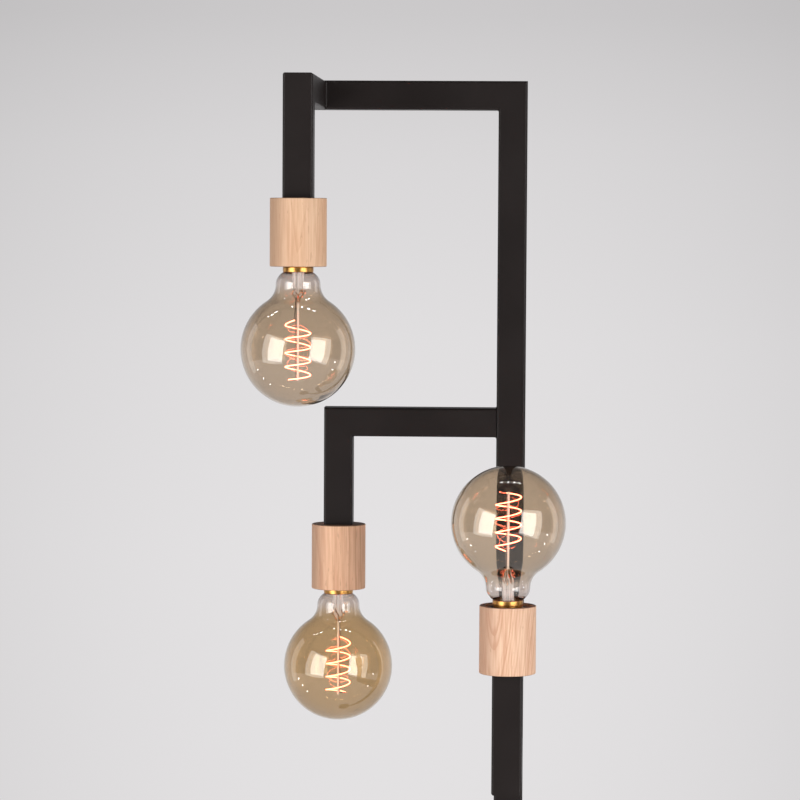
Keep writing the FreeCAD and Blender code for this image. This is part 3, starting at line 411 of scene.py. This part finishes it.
# %% [markdown]
# ## Turned pieces
# The cups, the globes and the glass stems are all bodies of revolution. Each could be cut
# from a sphere or a cylinder, but a lathe is closer to how they are made: an outline is
# drawn in x and z, point by point and arc by arc, and then spun once round the z axis.
# The outlines are in millimetres, from the tube's end or from the bulb's tip outwards,
# and one matrix turns them over for the hanging lamps and puts them where the CAD says.

# %% Outline
MM = 0.001
SIDES = 128
SHARP_EDGE = math.radians(35)
SAME_PLACE = 0.01


class Outline:
    """A chain of edges in x and z that is spun into a turned piece."""

    def __init__(self, x, z):
        self.mesh = bmesh.new()
        self.tip = self.mesh.verts.new((x, 0, z))

    def line(self, *points):
        for x, z in points:
            grown = bmesh.ops.extrude_vert_indiv(self.mesh, verts=[self.tip])
            self.tip = grown["verts"][0]
            self.tip.co = (x, 0, z)
        return self

    def arc(self, centre_x, centre_z, degrees, steps):
        """Swing the tip about a centre, anticlockwise if the angle is positive."""
        swung = bmesh.ops.spin(
            self.mesh, geom=[self.tip], cent=(centre_x, 0, centre_z), axis=(0, -1, 0),
            angle=math.radians(degrees), steps=steps)
        ends = [item for item in swung["geom_last"] if isinstance(item, bmesh.types.BMVert)]
        self.tip = ends[0]
        return self

    def turned(self, name, matrix, sides=SIDES):
        """Spin the outline, put it in its place and make it an object."""
        chain = self.mesh.verts[:] + self.mesh.edges[:]
        bmesh.ops.spin(self.mesh, geom=chain, cent=(0, 0, 0), axis=(0, 0, 1),
                       angle=2 * math.pi, steps=sides, use_merge=True)
        bmesh.ops.remove_doubles(self.mesh, verts=self.mesh.verts, dist=SAME_PLACE)
        bmesh.ops.recalc_face_normals(self.mesh, faces=self.mesh.faces)
        bmesh.ops.transform(self.mesh, matrix=matrix, verts=self.mesh.verts)
        return finished(name, self.mesh)


def finished(name, mesh):
    """Turn a bmesh into a smooth object of the scene."""
    data = bpy.data.meshes.new(name)
    for face in mesh.faces:
        face.smooth = True
    mesh.to_mesh(data)
    mesh.free()
    data.set_sharp_from_angle(angle=SHARP_EDGE)
    piece = bpy.data.objects.new(name, data)
    bpy.context.scene.collection.objects.link(piece)
    return piece


print("turned pieces have", SIDES, "sides")

# %% [markdown]
# Where a lamp is comes from the CAD boxes of its cup and its bulb's tip, so this script
# keeps fitting the model when a tube's length changes.

# %% Lamp places
HANGING = {"top": True, "middle": True, "riser": False}


def lamp_matrix(lamp, node):
    """From millimetres along a lamp to metres in the room. The node starts at zero."""
    low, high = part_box(node)
    start = high.z if HANGING[lamp] else low.z
    turn = Matrix.Rotation(math.pi, 4, "X") if HANGING[lamp] else Matrix.Identity(4)
    place = Matrix.Translation(((low.x + high.x) / 2, (low.y + high.y) / 2, start))
    return place @ turn @ Matrix.Scale(MM, 4)


CUP_PLACE = {lamp: lamp_matrix(lamp, f"{lamp}_wood_cup") for lamp in HANGING}
BULB_PLACE = {lamp: lamp_matrix(lamp, f"{lamp}_tip_contact") for lamp in HANGING}
for lamp, matrix in BULB_PLACE.items():
    print(f"{lamp:7s} bulb tip at z {matrix.translation.z:.4f} m")

# %% [markdown]
# ## Wooden cups
# Each cup is turned from one block of pale beech, bored from the mouth to take the
# lampholder, with its edges just eased. Its outline runs down the outside, round the lip
# and back up the bore.

# %% Cups
cup_low, cup_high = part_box("top_wood_cup")
CUP_RADIUS = (cup_high.x - cup_low.x) / 2 / MM
CUP_LENGTH = (cup_high.z - cup_low.z) / MM
CUP_BORE = 19
CUP_END = 8
CUP_HOLE = 5.05
CUP_ROUND = 0.8
ROUND_STEPS = 6


def wood_cup(lamp):
    shape = Outline(CUP_HOLE, 0)
    shape.line((CUP_RADIUS - CUP_ROUND, 0))
    shape.arc(CUP_RADIUS - CUP_ROUND, CUP_ROUND, 90, ROUND_STEPS)
    shape.line((CUP_RADIUS, CUP_LENGTH - CUP_ROUND))
    shape.arc(CUP_RADIUS - CUP_ROUND, CUP_LENGTH - CUP_ROUND, 90, ROUND_STEPS)
    shape.line((CUP_BORE + CUP_ROUND, CUP_LENGTH))
    shape.arc(CUP_BORE + CUP_ROUND, CUP_LENGTH - CUP_ROUND, 90, ROUND_STEPS)
    shape.line((CUP_BORE, CUP_END), (CUP_HOLE, CUP_END), (CUP_HOLE, 0))
    cup = shape.turned(f"{lamp}_turned_cup", CUP_PLACE[lamp])
    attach(cup, "stand")
    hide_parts(f"{lamp}_wood_cup")
    return cup


cups = {lamp: wood_cup(lamp) for lamp in HANGING}
print(f"cups {2 * CUP_RADIUS:.0f} mm across, {CUP_LENGTH:.1f} mm long")

# %% [markdown]
# Wood grain is a solid pattern: year rings are cylinders about the tree's own pith, and a
# turned cup is cut out of them. So the pattern starts from the distance to a pith line
# that leans a little beside the cup's middle. Where the rings meet the round wall at a
# slant they draw long arches, and where they cross it they draw straight stripes. A
# number drawn for each ring makes some dark and most faint, as good and poor years do.

# %% Year rings
RING_DRIFT = 4 * MM


def year_rings(wood, cup_middle, pith, lean, spacing):
    """The dark late wood of each year, and soft bands that are several years wide."""
    from_pith = {"Vector": cup_middle, "Rotation": (*lean, 0.0),
                 "Location": (-pith[0], -pith[1], 0.0)}
    tree = wood.node("Mapping", None, from_pith)
    x, y, z = (wood.axis(tree, name) for name in "XYZ")
    drift = wood.noise(wood.place(stretch=(1, 1, 0.3)), 50.0)
    distance = wood.maths("SQRT", x * x + y * y) + (drift - 0.5) * RING_DRIFT
    rings = distance * (1 / spacing)
    ring = wood.maths("FRACT", rings)
    number = {"W": wood.maths("FLOOR", rings)}
    year = wood.node("TexWhiteNoise", {"noise_dimensions": "1D"}, number)
    late = wood.step(ring, 0.25, 0.9) * (1 - wood.step(ring, 0.9, 1.0)) * (year * year)
    rows = wood.node("CombineXYZ", None, {"X": distance, "Y": 0.0, "Z": z * 0.04})
    bands = wood.step(wood.noise(rows, 190.0, 1.0), 0.32, 0.68)
    return late, bands


print(f"rings drift by up to {RING_DRIFT / 2 / MM:.0f} mm")

# %% [markdown]
# Streaks, fibres and the short dark flecks of beech lie over the rings. They are clouds of noise
# that are drawn out along the cup. One side of each cup is darker, partly heartwood and partly
# painted shade where less light falls on that side. The end grain at both ends is darker too,
# partly because it drinks oil and partly as painted shade on the end faces, which get little
# light. Each cup was cut from another place in another board, so each has its own row of a
# table.

# %% Beech
# The end tone is partly the oiled end grain and partly painted shade on the end faces.
END_GRAIN_AND_SHADE = linear(134, 98, 76)
END_GRAIN_AND_SHADE_DEPTH = 0.6 * MM
FLECK = linear(172, 122, 92)
BAND_SHARE = 0.22
STREAK_SHARE = 0.36
FIBRE_SHARE = 0.42
# The heart tone darkens one side of each cup, partly as heartwood and partly as painted shade.
HEART_AND_SHADE_SHARE = 0.75
FLECK_SHARE = 0.34
GRAINS = {
    "top": {
        "pith": (0.003, -0.050), "lean": (0.05, -0.01), "spacing": 0.0014, "year_depth": 0.6,
        "light": linear(232, 194, 160), "dark": linear(210, 164, 130),
        "heart_and_shade": linear(172, 137, 111), "heart_and_shade_side": (-1.0, 0.1), "heart_and_shade_edges": (0.003, 0.020),
    },
    "middle": {
        "pith": (0.062, 0.022), "lean": (0.02, 0.055), "spacing": 0.0034, "year_depth": 0.8,
        "light": linear(248, 203, 167), "dark": linear(218, 162, 128),
        "heart_and_shade": linear(168, 134, 111), "heart_and_shade_side": (-1.0, 0.2), "heart_and_shade_edges": (0.001, 0.020),
    },
    "riser": {
        "pith": (-0.0150, -0.0275), "lean": (0.165, -0.093), "spacing": 0.0024,
        "year_depth": 0.76, "light": linear(245, 208, 177), "dark": linear(215, 164, 133),
        "heart_and_shade": linear(188, 145, 119), "heart_and_shade_side": (-1.0, 0.0), "heart_and_shade_edges": (0.005, 0.022),
    },
}


def beech(lamp, pith, lean, spacing, year_depth, light, dark, heart_and_shade, heart_and_shade_side, heart_and_shade_edges):
    """Beech whose pith stands at a place beside the cup's middle, in metres."""
    wood = new_material(f"beech_{lamp}")
    low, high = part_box(f"{lamp}_wood_cup")
    cup_middle = wood.place(move=tuple(-(low + high) / 2))
    late, bands = year_rings(wood, cup_middle, pith, lean, spacing)
    streak = wood.step(wood.noise(wood.place(stretch=(1, 1, 0.05)), 260.0), 0.35, 0.7)
    fibre = wood.noise(wood.place(stretch=(1, 1, 0.035)), 900.0, 3.0, 0.6)
    flecks = wood.step(wood.noise(wood.place(stretch=(1, 1, 0.17)), 620.0, 1.0), 0.67, 0.75)
    fine = wood.step(fibre, 0.36, 0.64)
    grain = bands * BAND_SHARE + streak * STREAK_SHARE + fine * FIBRE_SHARE
    share = wood.maths("MINIMUM", late * year_depth + grain, 1.0)
    colour = wood.blend(share, light, dark)
    # Painted shade and heartwood: one side of the cup turns darker.
    sideways = wood.node("VectorMath", {"operation": "DOT_PRODUCT"},
                         {0: cup_middle, 1: (*heart_and_shade_side, 0.0)}, output="Value")
    colour = wood.blend(wood.step(sideways, *heart_and_shade_edges) * HEART_AND_SHADE_SHARE, colour, heart_and_shade)
    colour = wood.blend(flecks * FLECK_SHARE, colour, FLECK)
    # Painted shade and oiled end grain: both ends turn darker.
    half = (high.z - low.z) / 2
    from_middle = wood.maths("ABSOLUTE", wood.axis(cup_middle, "Z"))
    colour = wood.blend(wood.step(from_middle, half - END_GRAIN_AND_SHADE_DEPTH, half), colour, END_GRAIN_AND_SHADE)
    return wood.cover(wood.principled(
        Base_Color=colour,
        Roughness=wood.step(fibre, 0.2, 0.8) * 0.12 + 0.52,
        Specular_IOR_Level=0.35,
        Normal=wood.bump(fibre * 0.6 + late * 0.4 - flecks * 0.5, 0.25, 0.3 * MM),
    ))


for lamp, cup in cups.items():
    cup.data.materials.append(beech(lamp, **GRAINS[lamp]))
print("years", [round(grain["spacing"] / MM, 1) for grain in GRAINS.values()], "mm wide")

# %% [markdown]
# ## Glass globes
# A globe is blown glass, under a millimetre thick: a straight neck that goes into the
# brass cap, a round shoulder, a hollow and then the ball. Only the outside is drawn, and
# a Solidify modifier gives the wall, so that a ray of light bends twice in each wall as
# it does in a real bulb. The hollow's radius follows from touching both rounds.

# %% Globes
globe_low, globe_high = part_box("top_glass_globe")
GLOBE_RADIUS = (globe_high.x - globe_low.x) / 2 / MM
GLASS_WALL = 0.9
GLOBE_CENTRE = 91.1
NECK_END = 14.3
NECK_RADIUS = 11.6
SHOULDER_RADIUS = 18.5
SHOULDER_ROUND = 11.4
SHOULDER = 37.6
SHOULDER_STEPS = 12
HOLLOW_STEPS = 14
BALL_STEPS = 56

shoulder_core = SHOULDER_RADIUS - SHOULDER_ROUND
rise = GLOBE_CENTRE - SHOULDER
hollow = ((SHOULDER_RADIUS ** 2 + rise ** 2 - GLOBE_RADIUS ** 2)
          / (2 * (GLOBE_RADIUS - SHOULDER_RADIUS)))
shoulder_turn = math.degrees(math.acos((NECK_RADIUS - shoulder_core) / SHOULDER_ROUND))
hollow_turn = math.degrees(math.atan2(rise, SHOULDER_RADIUS + hollow))
neck_top = SHOULDER - SHOULDER_ROUND * math.sin(math.radians(shoulder_turn))


def glass_globe(lamp):
    shape = Outline(NECK_RADIUS, NECK_END).line((NECK_RADIUS, neck_top))
    shape.arc(shoulder_core, SHOULDER, shoulder_turn, SHOULDER_STEPS)
    shape.arc(SHOULDER_RADIUS + hollow, SHOULDER, -hollow_turn, HOLLOW_STEPS)
    shape.arc(0, GLOBE_CENTRE, 90 + hollow_turn, BALL_STEPS)
    globe = shape.turned(f"{lamp}_blown_globe", BULB_PLACE[lamp])
    wall = globe.modifiers.new("wall", "SOLIDIFY")
    wall.thickness = GLASS_WALL * MM
    wall.offset = -1
    wall.use_even_offset = True
    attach(globe, f"{lamp}_bulb")
    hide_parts(f"{lamp}_glass_globe")
    return globe


globes = {lamp: glass_globe(lamp) for lamp in HANGING}
print(f"globes {2 * GLOBE_RADIUS:.0f} mm, hollow round {hollow:.1f} mm")

# %% [markdown]
# The amber is a thin coat that was fired on the ball, and it fades out over the neck. So
# the tint is a ramp along the bulb's own axis, and each lamp gets its own ramp because
# the bulbs hang and stand at different heights. Such a coat mirrors more than bare glass
# does, so its refractive index is set higher than the 1.5 of the stem.

# %% Amber glass
COATED_IOR = 1.72
COAT_START = 34 * MM
COAT_FULL = 52 * MM
CLEAR = (0.835, 0.77, 0.73, 1.0)
AMBERS = {
    "top": (0.78, 0.675, 0.555, 1.0),
    "middle": (0.78, 0.635, 0.45, 1.0),
    "riser": (0.785, 0.68, 0.56, 1.0),
}


def along_bulb(paint, lamp):
    """Metres from the bulb's tip, along its axis towards the globe's far end."""
    tip = BULB_PLACE[lamp].translation.z
    z = paint.axis(paint.place(), "Z")
    return tip - z if HANGING[lamp] else z - tip


def amber_glass(lamp):
    glass = new_material(f"amber_glass_{lamp}")
    coated = glass.step(along_bulb(glass, lamp), COAT_START, COAT_FULL)
    return glass.cover(glass.principled(
        Base_Color=glass.blend(coated, CLEAR, AMBERS[lamp]),
        Roughness=0.0,
        IOR=COATED_IOR,
        Transmission_Weight=1.0,
    ))


for lamp, globe in globes.items():
    globe.data.materials.append(amber_glass(lamp))
print("coated glass of refractive index", COATED_IOR)

# %% [markdown]
# ## Glass stems
# Inside the neck a flared glass tube closes the bulb. Its far end is pressed round the
# wires, and a thin rod of milky glass goes on from there up the middle of the filament.
# One outline runs up the tube's bore, back down to its foot and up the outside, and it is
# turned like the cups.

# %% Stems
STEM_BORE = (
    (0, 42.2), (1.8, 41.8), (3.2, 40.8), (3.9, 39.2), (3.9, 29.6), (4.3, 27.4), (5.5, 23.9),
    (7.6, 19.2), (9.6, 15.2), (9.6, 14.3),
)
STEM_OUTLINE = (
    (10.6, 14.3), (10.6, 15.1), (8.6, 18.8), (6.4, 23.6), (5.2, 27.2), (4.9, 29.4), (4.9, 42.4),
    (4.6, 44.6), (3.6, 47.6), (2.3, 50.8), (1.3, 52.9), (0.9, 54.4), (0.9, 116.3), (0.6, 117.0),
    (0, 117.3),
)
STEM_SIDES = 64


def glass_stem(lamp):
    shape = Outline(*STEM_BORE[0]).line(*STEM_BORE[1:], *STEM_OUTLINE)
    stem = shape.turned(f"{lamp}_flared_stem", BULB_PLACE[lamp], STEM_SIDES)
    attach(stem, f"{lamp}_bulb")
    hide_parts(f"{lamp}_glass_stem")
    return stem


stems = {lamp: glass_stem(lamp) for lamp in HANGING}
print(f"stems {STEM_OUTLINE[-1][1] - STEM_OUTLINE[0][1]:.0f} mm long")

# %% [markdown]
# The tube is clear with milky streaks that were drawn along it, and the rod is milky all
# through. Milky glass could be a volume, but that is slow and grainy for a rod of two
# millimetres. So it is a rough glass with a painted glow: it shines a little by itself, to stand
# in for the light that is scattered inside it, and a Mix Shader's factor says where it is.

# %% Stem glass
ROD_START = 52.5 * MM
ROD_FULL = 54 * MM
STEM_CLEAR = (0.97, 0.96, 0.95, 1.0)
STEM_MILKY = (0.89, 0.87, 0.85, 1.0)
# A painted glow for the milky glass, standing in for light scattered inside it.
PAINTED_GLOW_PALE = (1.0, 0.99, 1.0, 1.0)
PAINTED_GLOW_WARM = (1.0, 0.93, 0.88, 1.0)
PAINTED_GLOW_STRENGTH = 0.44
ROD_MILK = 0.8
STREAK_MILK = 0.55
LEAST_MILK = 0.1


def stem_glass(lamp):
    stem = new_material(f"stem_glass_{lamp}")
    seeds = stem.noise(stem.place(), 500.0)
    clear = stem.principled(
        Base_Color=STEM_CLEAR,
        Roughness=stem.step(seeds, 0.6, 0.9) * 0.06,
        IOR=1.5,
        Transmission_Weight=1.0,
        Normal=stem.bump(seeds, 0.15, 0.2 * MM),
    )
    milky_with_painted_glow = stem.principled(
        Base_Color=stem.blend(seeds, STEM_CLEAR, STEM_MILKY),
        Roughness=0.25,
        Transmission_Weight=0.2,
        # Painted glow: the milky glass shines by itself.
        Emission_Color=stem.blend(seeds, PAINTED_GLOW_PALE, PAINTED_GLOW_WARM),
        Emission_Strength=PAINTED_GLOW_STRENGTH,
    )
    rod = stem.step(along_bulb(stem, lamp), ROD_START, ROD_FULL)
    drawn = stem.step(stem.noise(stem.place(stretch=(1, 1, 0.06)), 480.0), 0.4, 0.62)
    share = rod * ROD_MILK + (1 - rod) * (drawn * STREAK_MILK + LEAST_MILK)
    return stem.cover(stem.node("MixShader", None, {0: share, 1: clear, 2: milky_with_painted_glow}))


for lamp, stem in stems.items():
    stem.data.materials.append(stem_glass(lamp))
print(f"the rod starts {ROD_START / MM:.1f} mm from the tip")

# %% [markdown]
# ## Glowing filaments
# The filament is one long wire, wound in almost four open turns round the rod. It starts
# near the stem on a small radius and swings out to full width. The line is the one that
# the CAD wire follows, as a row of points.

# %% Filament line
FILAMENT_RADIUS = 10.5
ENTRY_RADIUS = 7
ENTRY_TURNS = 0.2
ENTRY_RISE = 5
TURNS = 3.87
PITCH_MM = 11.45
FIRST_TURN = 72
LEAN = 0.45
WIRE_RADIUS = 0.42
POINTS_PER_TURN = 40
MOUNT_TURNS = {"top": 0, "middle": 172, "riser": 0}


def filament_point(turn):
    """A place on the filament's line, in millimetres from the bulb's tip."""
    angle = math.pi + 2 * math.pi * turn
    radius, height = FILAMENT_RADIUS, FIRST_TURN + PITCH_MM * turn
    if turn < 0:
        done = 1 + turn / ENTRY_TURNS
        swing = math.sin(done * math.pi / 2)
        radius = ENTRY_RADIUS + (FILAMENT_RADIUS - ENTRY_RADIUS) * swing
        height = FIRST_TURN - ENTRY_RISE * (1 - done)
    across, back = math.cos(angle), math.sin(angle)
    return Vector((radius * across, radius * back, height + LEAN * across))


all_turns = TURNS + ENTRY_TURNS
count = round(all_turns * POINTS_PER_TURN)
filament_line = [
    filament_point(-ENTRY_TURNS + index * all_turns / count) for index in range(count + 1)]
length = sum((b - a).length for a, b in zip(filament_line, filament_line[1:]))
print(f"filament wire {length:.0f} mm long")

# %% [markdown]
# A wire could be built ring by ring of faces, but a curve with a round bevel does that by
# itself: it takes the points, becomes a round wire and then a mesh. The middle bulb was
# screwed in half a turn away from the others, so its wire faces back.

# %% Wires
SAME_POINT = 1e-6


def wire_mesh(name, lines, radius, matrix, kind="POLY", sides=3):
    """Round wires along lines of points, as one mesh in metres."""
    curve = bpy.data.curves.new(name, "CURVE")
    curve.dimensions = "3D"
    curve.bevel_depth = radius * MM
    curve.bevel_resolution = sides
    curve.use_fill_caps = True
    for line in lines:
        spline = curve.splines.new(kind)
        spline.points.add(len(line) - 1)
        for point, place in zip(spline.points, line):
            point.co = (*(matrix @ Vector(place)), 1)
        if kind == "NURBS":
            spline.order_u = 3
            spline.use_endpoint_u = True
            spline.resolution_u = 6
    helper = bpy.data.objects.new("wires", curve)
    mesh = bmesh.new()
    mesh.from_mesh(bpy.data.meshes.new_from_object(helper))
    bpy.data.objects.remove(helper)
    bmesh.ops.remove_doubles(mesh, verts=mesh.verts, dist=SAME_POINT)
    bmesh.ops.recalc_face_normals(mesh, faces=mesh.faces)
    return finished(name, mesh)


filaments = {}
for lamp in HANGING:
    own_turn = Matrix.Rotation(math.radians(MOUNT_TURNS[lamp]), 4, "Z")
    place = BULB_PLACE[lamp] @ own_turn
    wire = wire_mesh(f"{lamp}_wound_filament", [filament_line], WIRE_RADIUS, place)
    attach(wire, f"{lamp}_bulb")
    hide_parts(f"{lamp}_filament")
    filaments[lamp] = wire
print(len(filaments["top"].data.polygons), "faces on a filament")

# %% [markdown]
# The wire's light is far over white in red, and less so in green and blue. So it clips to
# a hot pale tone inside, and its edges, where a pixel is only part wire, turn orange, as
# they do in a photograph.

# %% Glow
GLOW = (1.0, 0.19, 0.115, 1.0)
GLOW_PALE = (1.0, 0.23, 0.145, 1.0)
GLOW_STRENGTH = 16.5

hot = new_material("glowing_filament")
flicker = hot.noise(hot.place(), 260.0)
glowing = hot.cover(hot.principled(
    Base_Color=(0.25, 0.12, 0.05, 1.0),
    Roughness=0.6,
    Emission_Color=hot.blend(flicker, GLOW, GLOW_PALE),
    Emission_Strength=GLOW_STRENGTH,
))
for wire in filaments.values():
    wire.data.materials.append(glowing)
print(len(filaments), "filaments lit")

# %% [markdown]
# ## Cement lines
# A little brown cement shows as a thin dark line where the glass goes into the brass cap.
# It is one small ring, drawn and turned like the cups.

# %% Cement
CEMENT_OUTLINE = ((12.35, 26.95), (12.3, 27.5), (11.75, 27.8), (11.7, 26.95))

cement = new_material("cap_cement")
crumb = cement.noise(cement.place(), 900.0, 3.0)
cement_finish = cement.cover(cement.principled(
    Base_Color=cement.blend(crumb, linear(84, 44, 26), linear(128, 74, 46)),
    Roughness=0.7,
    Normal=cement.bump(crumb, 0.4, 0.2 * MM),
))
for lamp in HANGING:
    ring = Outline(*CEMENT_OUTLINE[-1]).line(*CEMENT_OUTLINE)
    line = ring.turned(f"{lamp}_cement_line", BULB_PLACE[lamp])
    line.data.materials.append(cement_finish)
    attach(line, f"{lamp}_bulb")
print("cement rings", 2 * CEMENT_OUTLINE[0][0], "mm across")

# %% [markdown]
# ## Copper crowns
# Round the pressed end of each stem sits a small crown of copper wire, whose hooks once
# held the filament's supports. Each hook is a bent wire, drawn as a short smooth curve
# and turned round the stem, with a seeded wobble so that no two are alike.

# %% Crowns
HOOKS = 9
HOOK_WIRE = 0.55
HOOK_LINE = (
    (1.4, 52.6), (1.9, 50.6), (3.3, 48.0), (5.0, 45.6), (5.5, 43.4), (4.9, 41.9), (5.2, 40.8))
NEAREST = 1.4
UNEVEN = 0.35
TWIST = 1.7
SHORTEN = 2.6
WOBBLE = 1.2


def hook(index, chance):
    angle = 2 * math.pi * (index + chance.uniform(-UNEVEN, UNEVEN)) / HOOKS
    twist = chance.uniform(-TWIST, TWIST)
    short = chance.uniform(0, SHORTEN)
    points = []
    for step, (radius, height) in enumerate(HOOK_LINE):
        share = step / (len(HOOK_LINE) - 1)
        here = angle + twist * share
        reach = max(radius + chance.uniform(-WOBBLE, WOBBLE) * share, NEAREST)
        lift = height + short * share + chance.uniform(-WOBBLE, WOBBLE) * share
        points.append((reach * math.cos(here), reach * math.sin(here), lift))
    return points


crowns = []
for seed, lamp in enumerate(HANGING):
    chance = random.Random(seed)
    lines = [hook(index, chance) for index in range(HOOKS)]
    crown = wire_mesh(f"{lamp}_wire_crown", lines, HOOK_WIRE, BULB_PLACE[lamp], "NURBS", 2)
    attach(crown, f"{lamp}_bulb")
    crowns.append(crown)
print(len(crowns) * HOOKS, "hooks")

# %% [markdown]
# ## Finishes for the CAD pieces
# Every other piece keeps its CAD mesh and only gets a finish. The finishes fall into two
# kinds: bare metals, whose colour and gloss drift a little, and coats and plastics, whose
# surface has a fine texture. Each kind is one function.

# %% Metals and coats
METAL_DRIFT = 0.16
COAT_DRIFT = 0.12


def metal(name, colour, worn, roughness, scale, depth):
    """A bare metal that drifts between two colours and is duller in spots."""
    paint = new_material(name)
    spot = paint.place()
    cloud = paint.noise(spot, scale, 4.0, 0.6)
    fine = paint.noise(spot, scale * 6)
    return paint.cover(paint.principled(
        Base_Color=paint.blend(paint.step(cloud, 0.4, 0.7), (*colour, 1.0), (*worn, 1.0)),
        Metallic=1.0,
        Roughness=cloud * METAL_DRIFT + (roughness - METAL_DRIFT / 2),
        Normal=paint.bump(fine, 0.2, depth * MM),
    ))


def coat(name, colour, worn, roughness, scale, depth, strength=0.3, gloss=0.5):
    """A coat, plastic or cloth with a fine grain that holds a little dust."""
    paint = new_material(name)
    spot = paint.place()
    grain = paint.noise(spot, scale, 3.0, 0.6)
    cloud = paint.noise(spot, 18.0, 3.0)
    mottled = paint.step(grain * 0.5 + cloud * 0.5, 0.35, 0.7)
    return paint.cover(paint.principled(
        Base_Color=paint.blend(mottled, (*colour, 1.0), (*worn, 1.0)),
        Roughness=cloud * COAT_DRIFT + (roughness - COAT_DRIFT / 2),
        Specular_IOR_Level=gloss,
        Normal=paint.bump(grain, strength, depth * MM),
    ))


print("two kinds of finish")

# %% [markdown]
# Two tables name what each of the record's material slots is made of. A row gives the
# colour, the worn or dusty colour, the roughness, the grain's scale and its depth in
# millimetres. The rows of the powder coat and the felt go on with the grain's strength
# and a low gloss, because both are duller than bare plastic.

# %% Finishes
METALS = {
    "zinc_steel": ("zinc_plate", (0.62, 0.62, 0.62), (0.5, 0.51, 0.5), 0.34, 120, 0.1),
    "shell_brass": ("shell_brass", (0.80, 0.56, 0.22), (0.55, 0.36, 0.13), 0.3, 240, 0.1),
    "cap_brass": ("cap_gold", (0.66, 0.35, 0.10), (0.38, 0.18, 0.05), 0.31, 260, 0.04),
    "solder": ("solder", (0.55, 0.55, 0.55), (0.4, 0.4, 0.42), 0.45, 500, 0.2),
    "copper_wire": ("lead_wire", (0.24, 0.2, 0.18), (0.1, 0.08, 0.07), 0.35, 420, 0.1),
}
COATS = {
    "black_powder_coat": ("powder_coat", (0.0098, 0.0061, 0.0054), (0.0138, 0.0093, 0.0084),
                          0.46, 1500, 0.06, 0.22, 0.22),
    "cast_iron": ("cast_iron", (0.045, 0.043, 0.042), (0.09, 0.07, 0.055), 0.72, 700, 0.4),
    "felt": ("felt_pad", (0.03, 0.03, 0.032), (0.06, 0.06, 0.062), 0.95, 2600, 0.6, 0.8, 0.2),
    "gland_plastic": ("bush_plastic", (0.018, 0.018, 0.019), (0.03, 0.03, 0.031),
                      0.42, 900, 0.04),
    "phenolic": ("phenolic_body", (0.016, 0.012, 0.010), (0.035, 0.024, 0.018),
                 0.38, 400, 0.05),
    "splice_nylon": ("splice_nylon", (0.62, 0.60, 0.52), (0.70, 0.68, 0.60), 0.5, 300, 0.05),
    "cable_sheath": ("cable_sheath", (0.02, 0.02, 0.02), (0.032, 0.031, 0.03),
                     0.55, 600, 0.05),
    "black_glass": ("black_glass", (0.006, 0.006, 0.007), (0.012, 0.010, 0.012),
                    0.12, 200, 0.03),
}
FINISHES = {slot: metal(*row) for slot, row in METALS.items()}
FINISHES.update({slot: coat(*row) for slot, row in COATS.items()})
crown_copper = metal("crown_copper", (0.95, 0.72, 0.54), (0.3, 0.17, 0.11), 0.26, 520, 0.1)
print(len(FINISHES), "finishes for the CAD pieces")

# %% [markdown]
# A CAD mesh is never touched. Its object has material slots, and those can point at new
# materials by themselves, so the loop reads each node's slot from the record and hangs
# the matching finish on it. Pieces that new meshes stand for are skipped.

# %% Hang the finishes
REMADE = ("beech", "amber_glass", "clear_glass", "filament")

dressed = 0
for part in frame["record"]["subparts"]:
    if part["material_slot"] in REMADE:
        continue
    for holder in frame["nodes"][part["node"]].material_slots:
        holder.link = "OBJECT"
        holder.material = FINISHES[part["material_slot"]]
    dressed += 1
for crown in crowns:
    crown.data.materials.append(crown_copper)
print("dressed", dressed, "CAD nodes")

# %% [markdown]
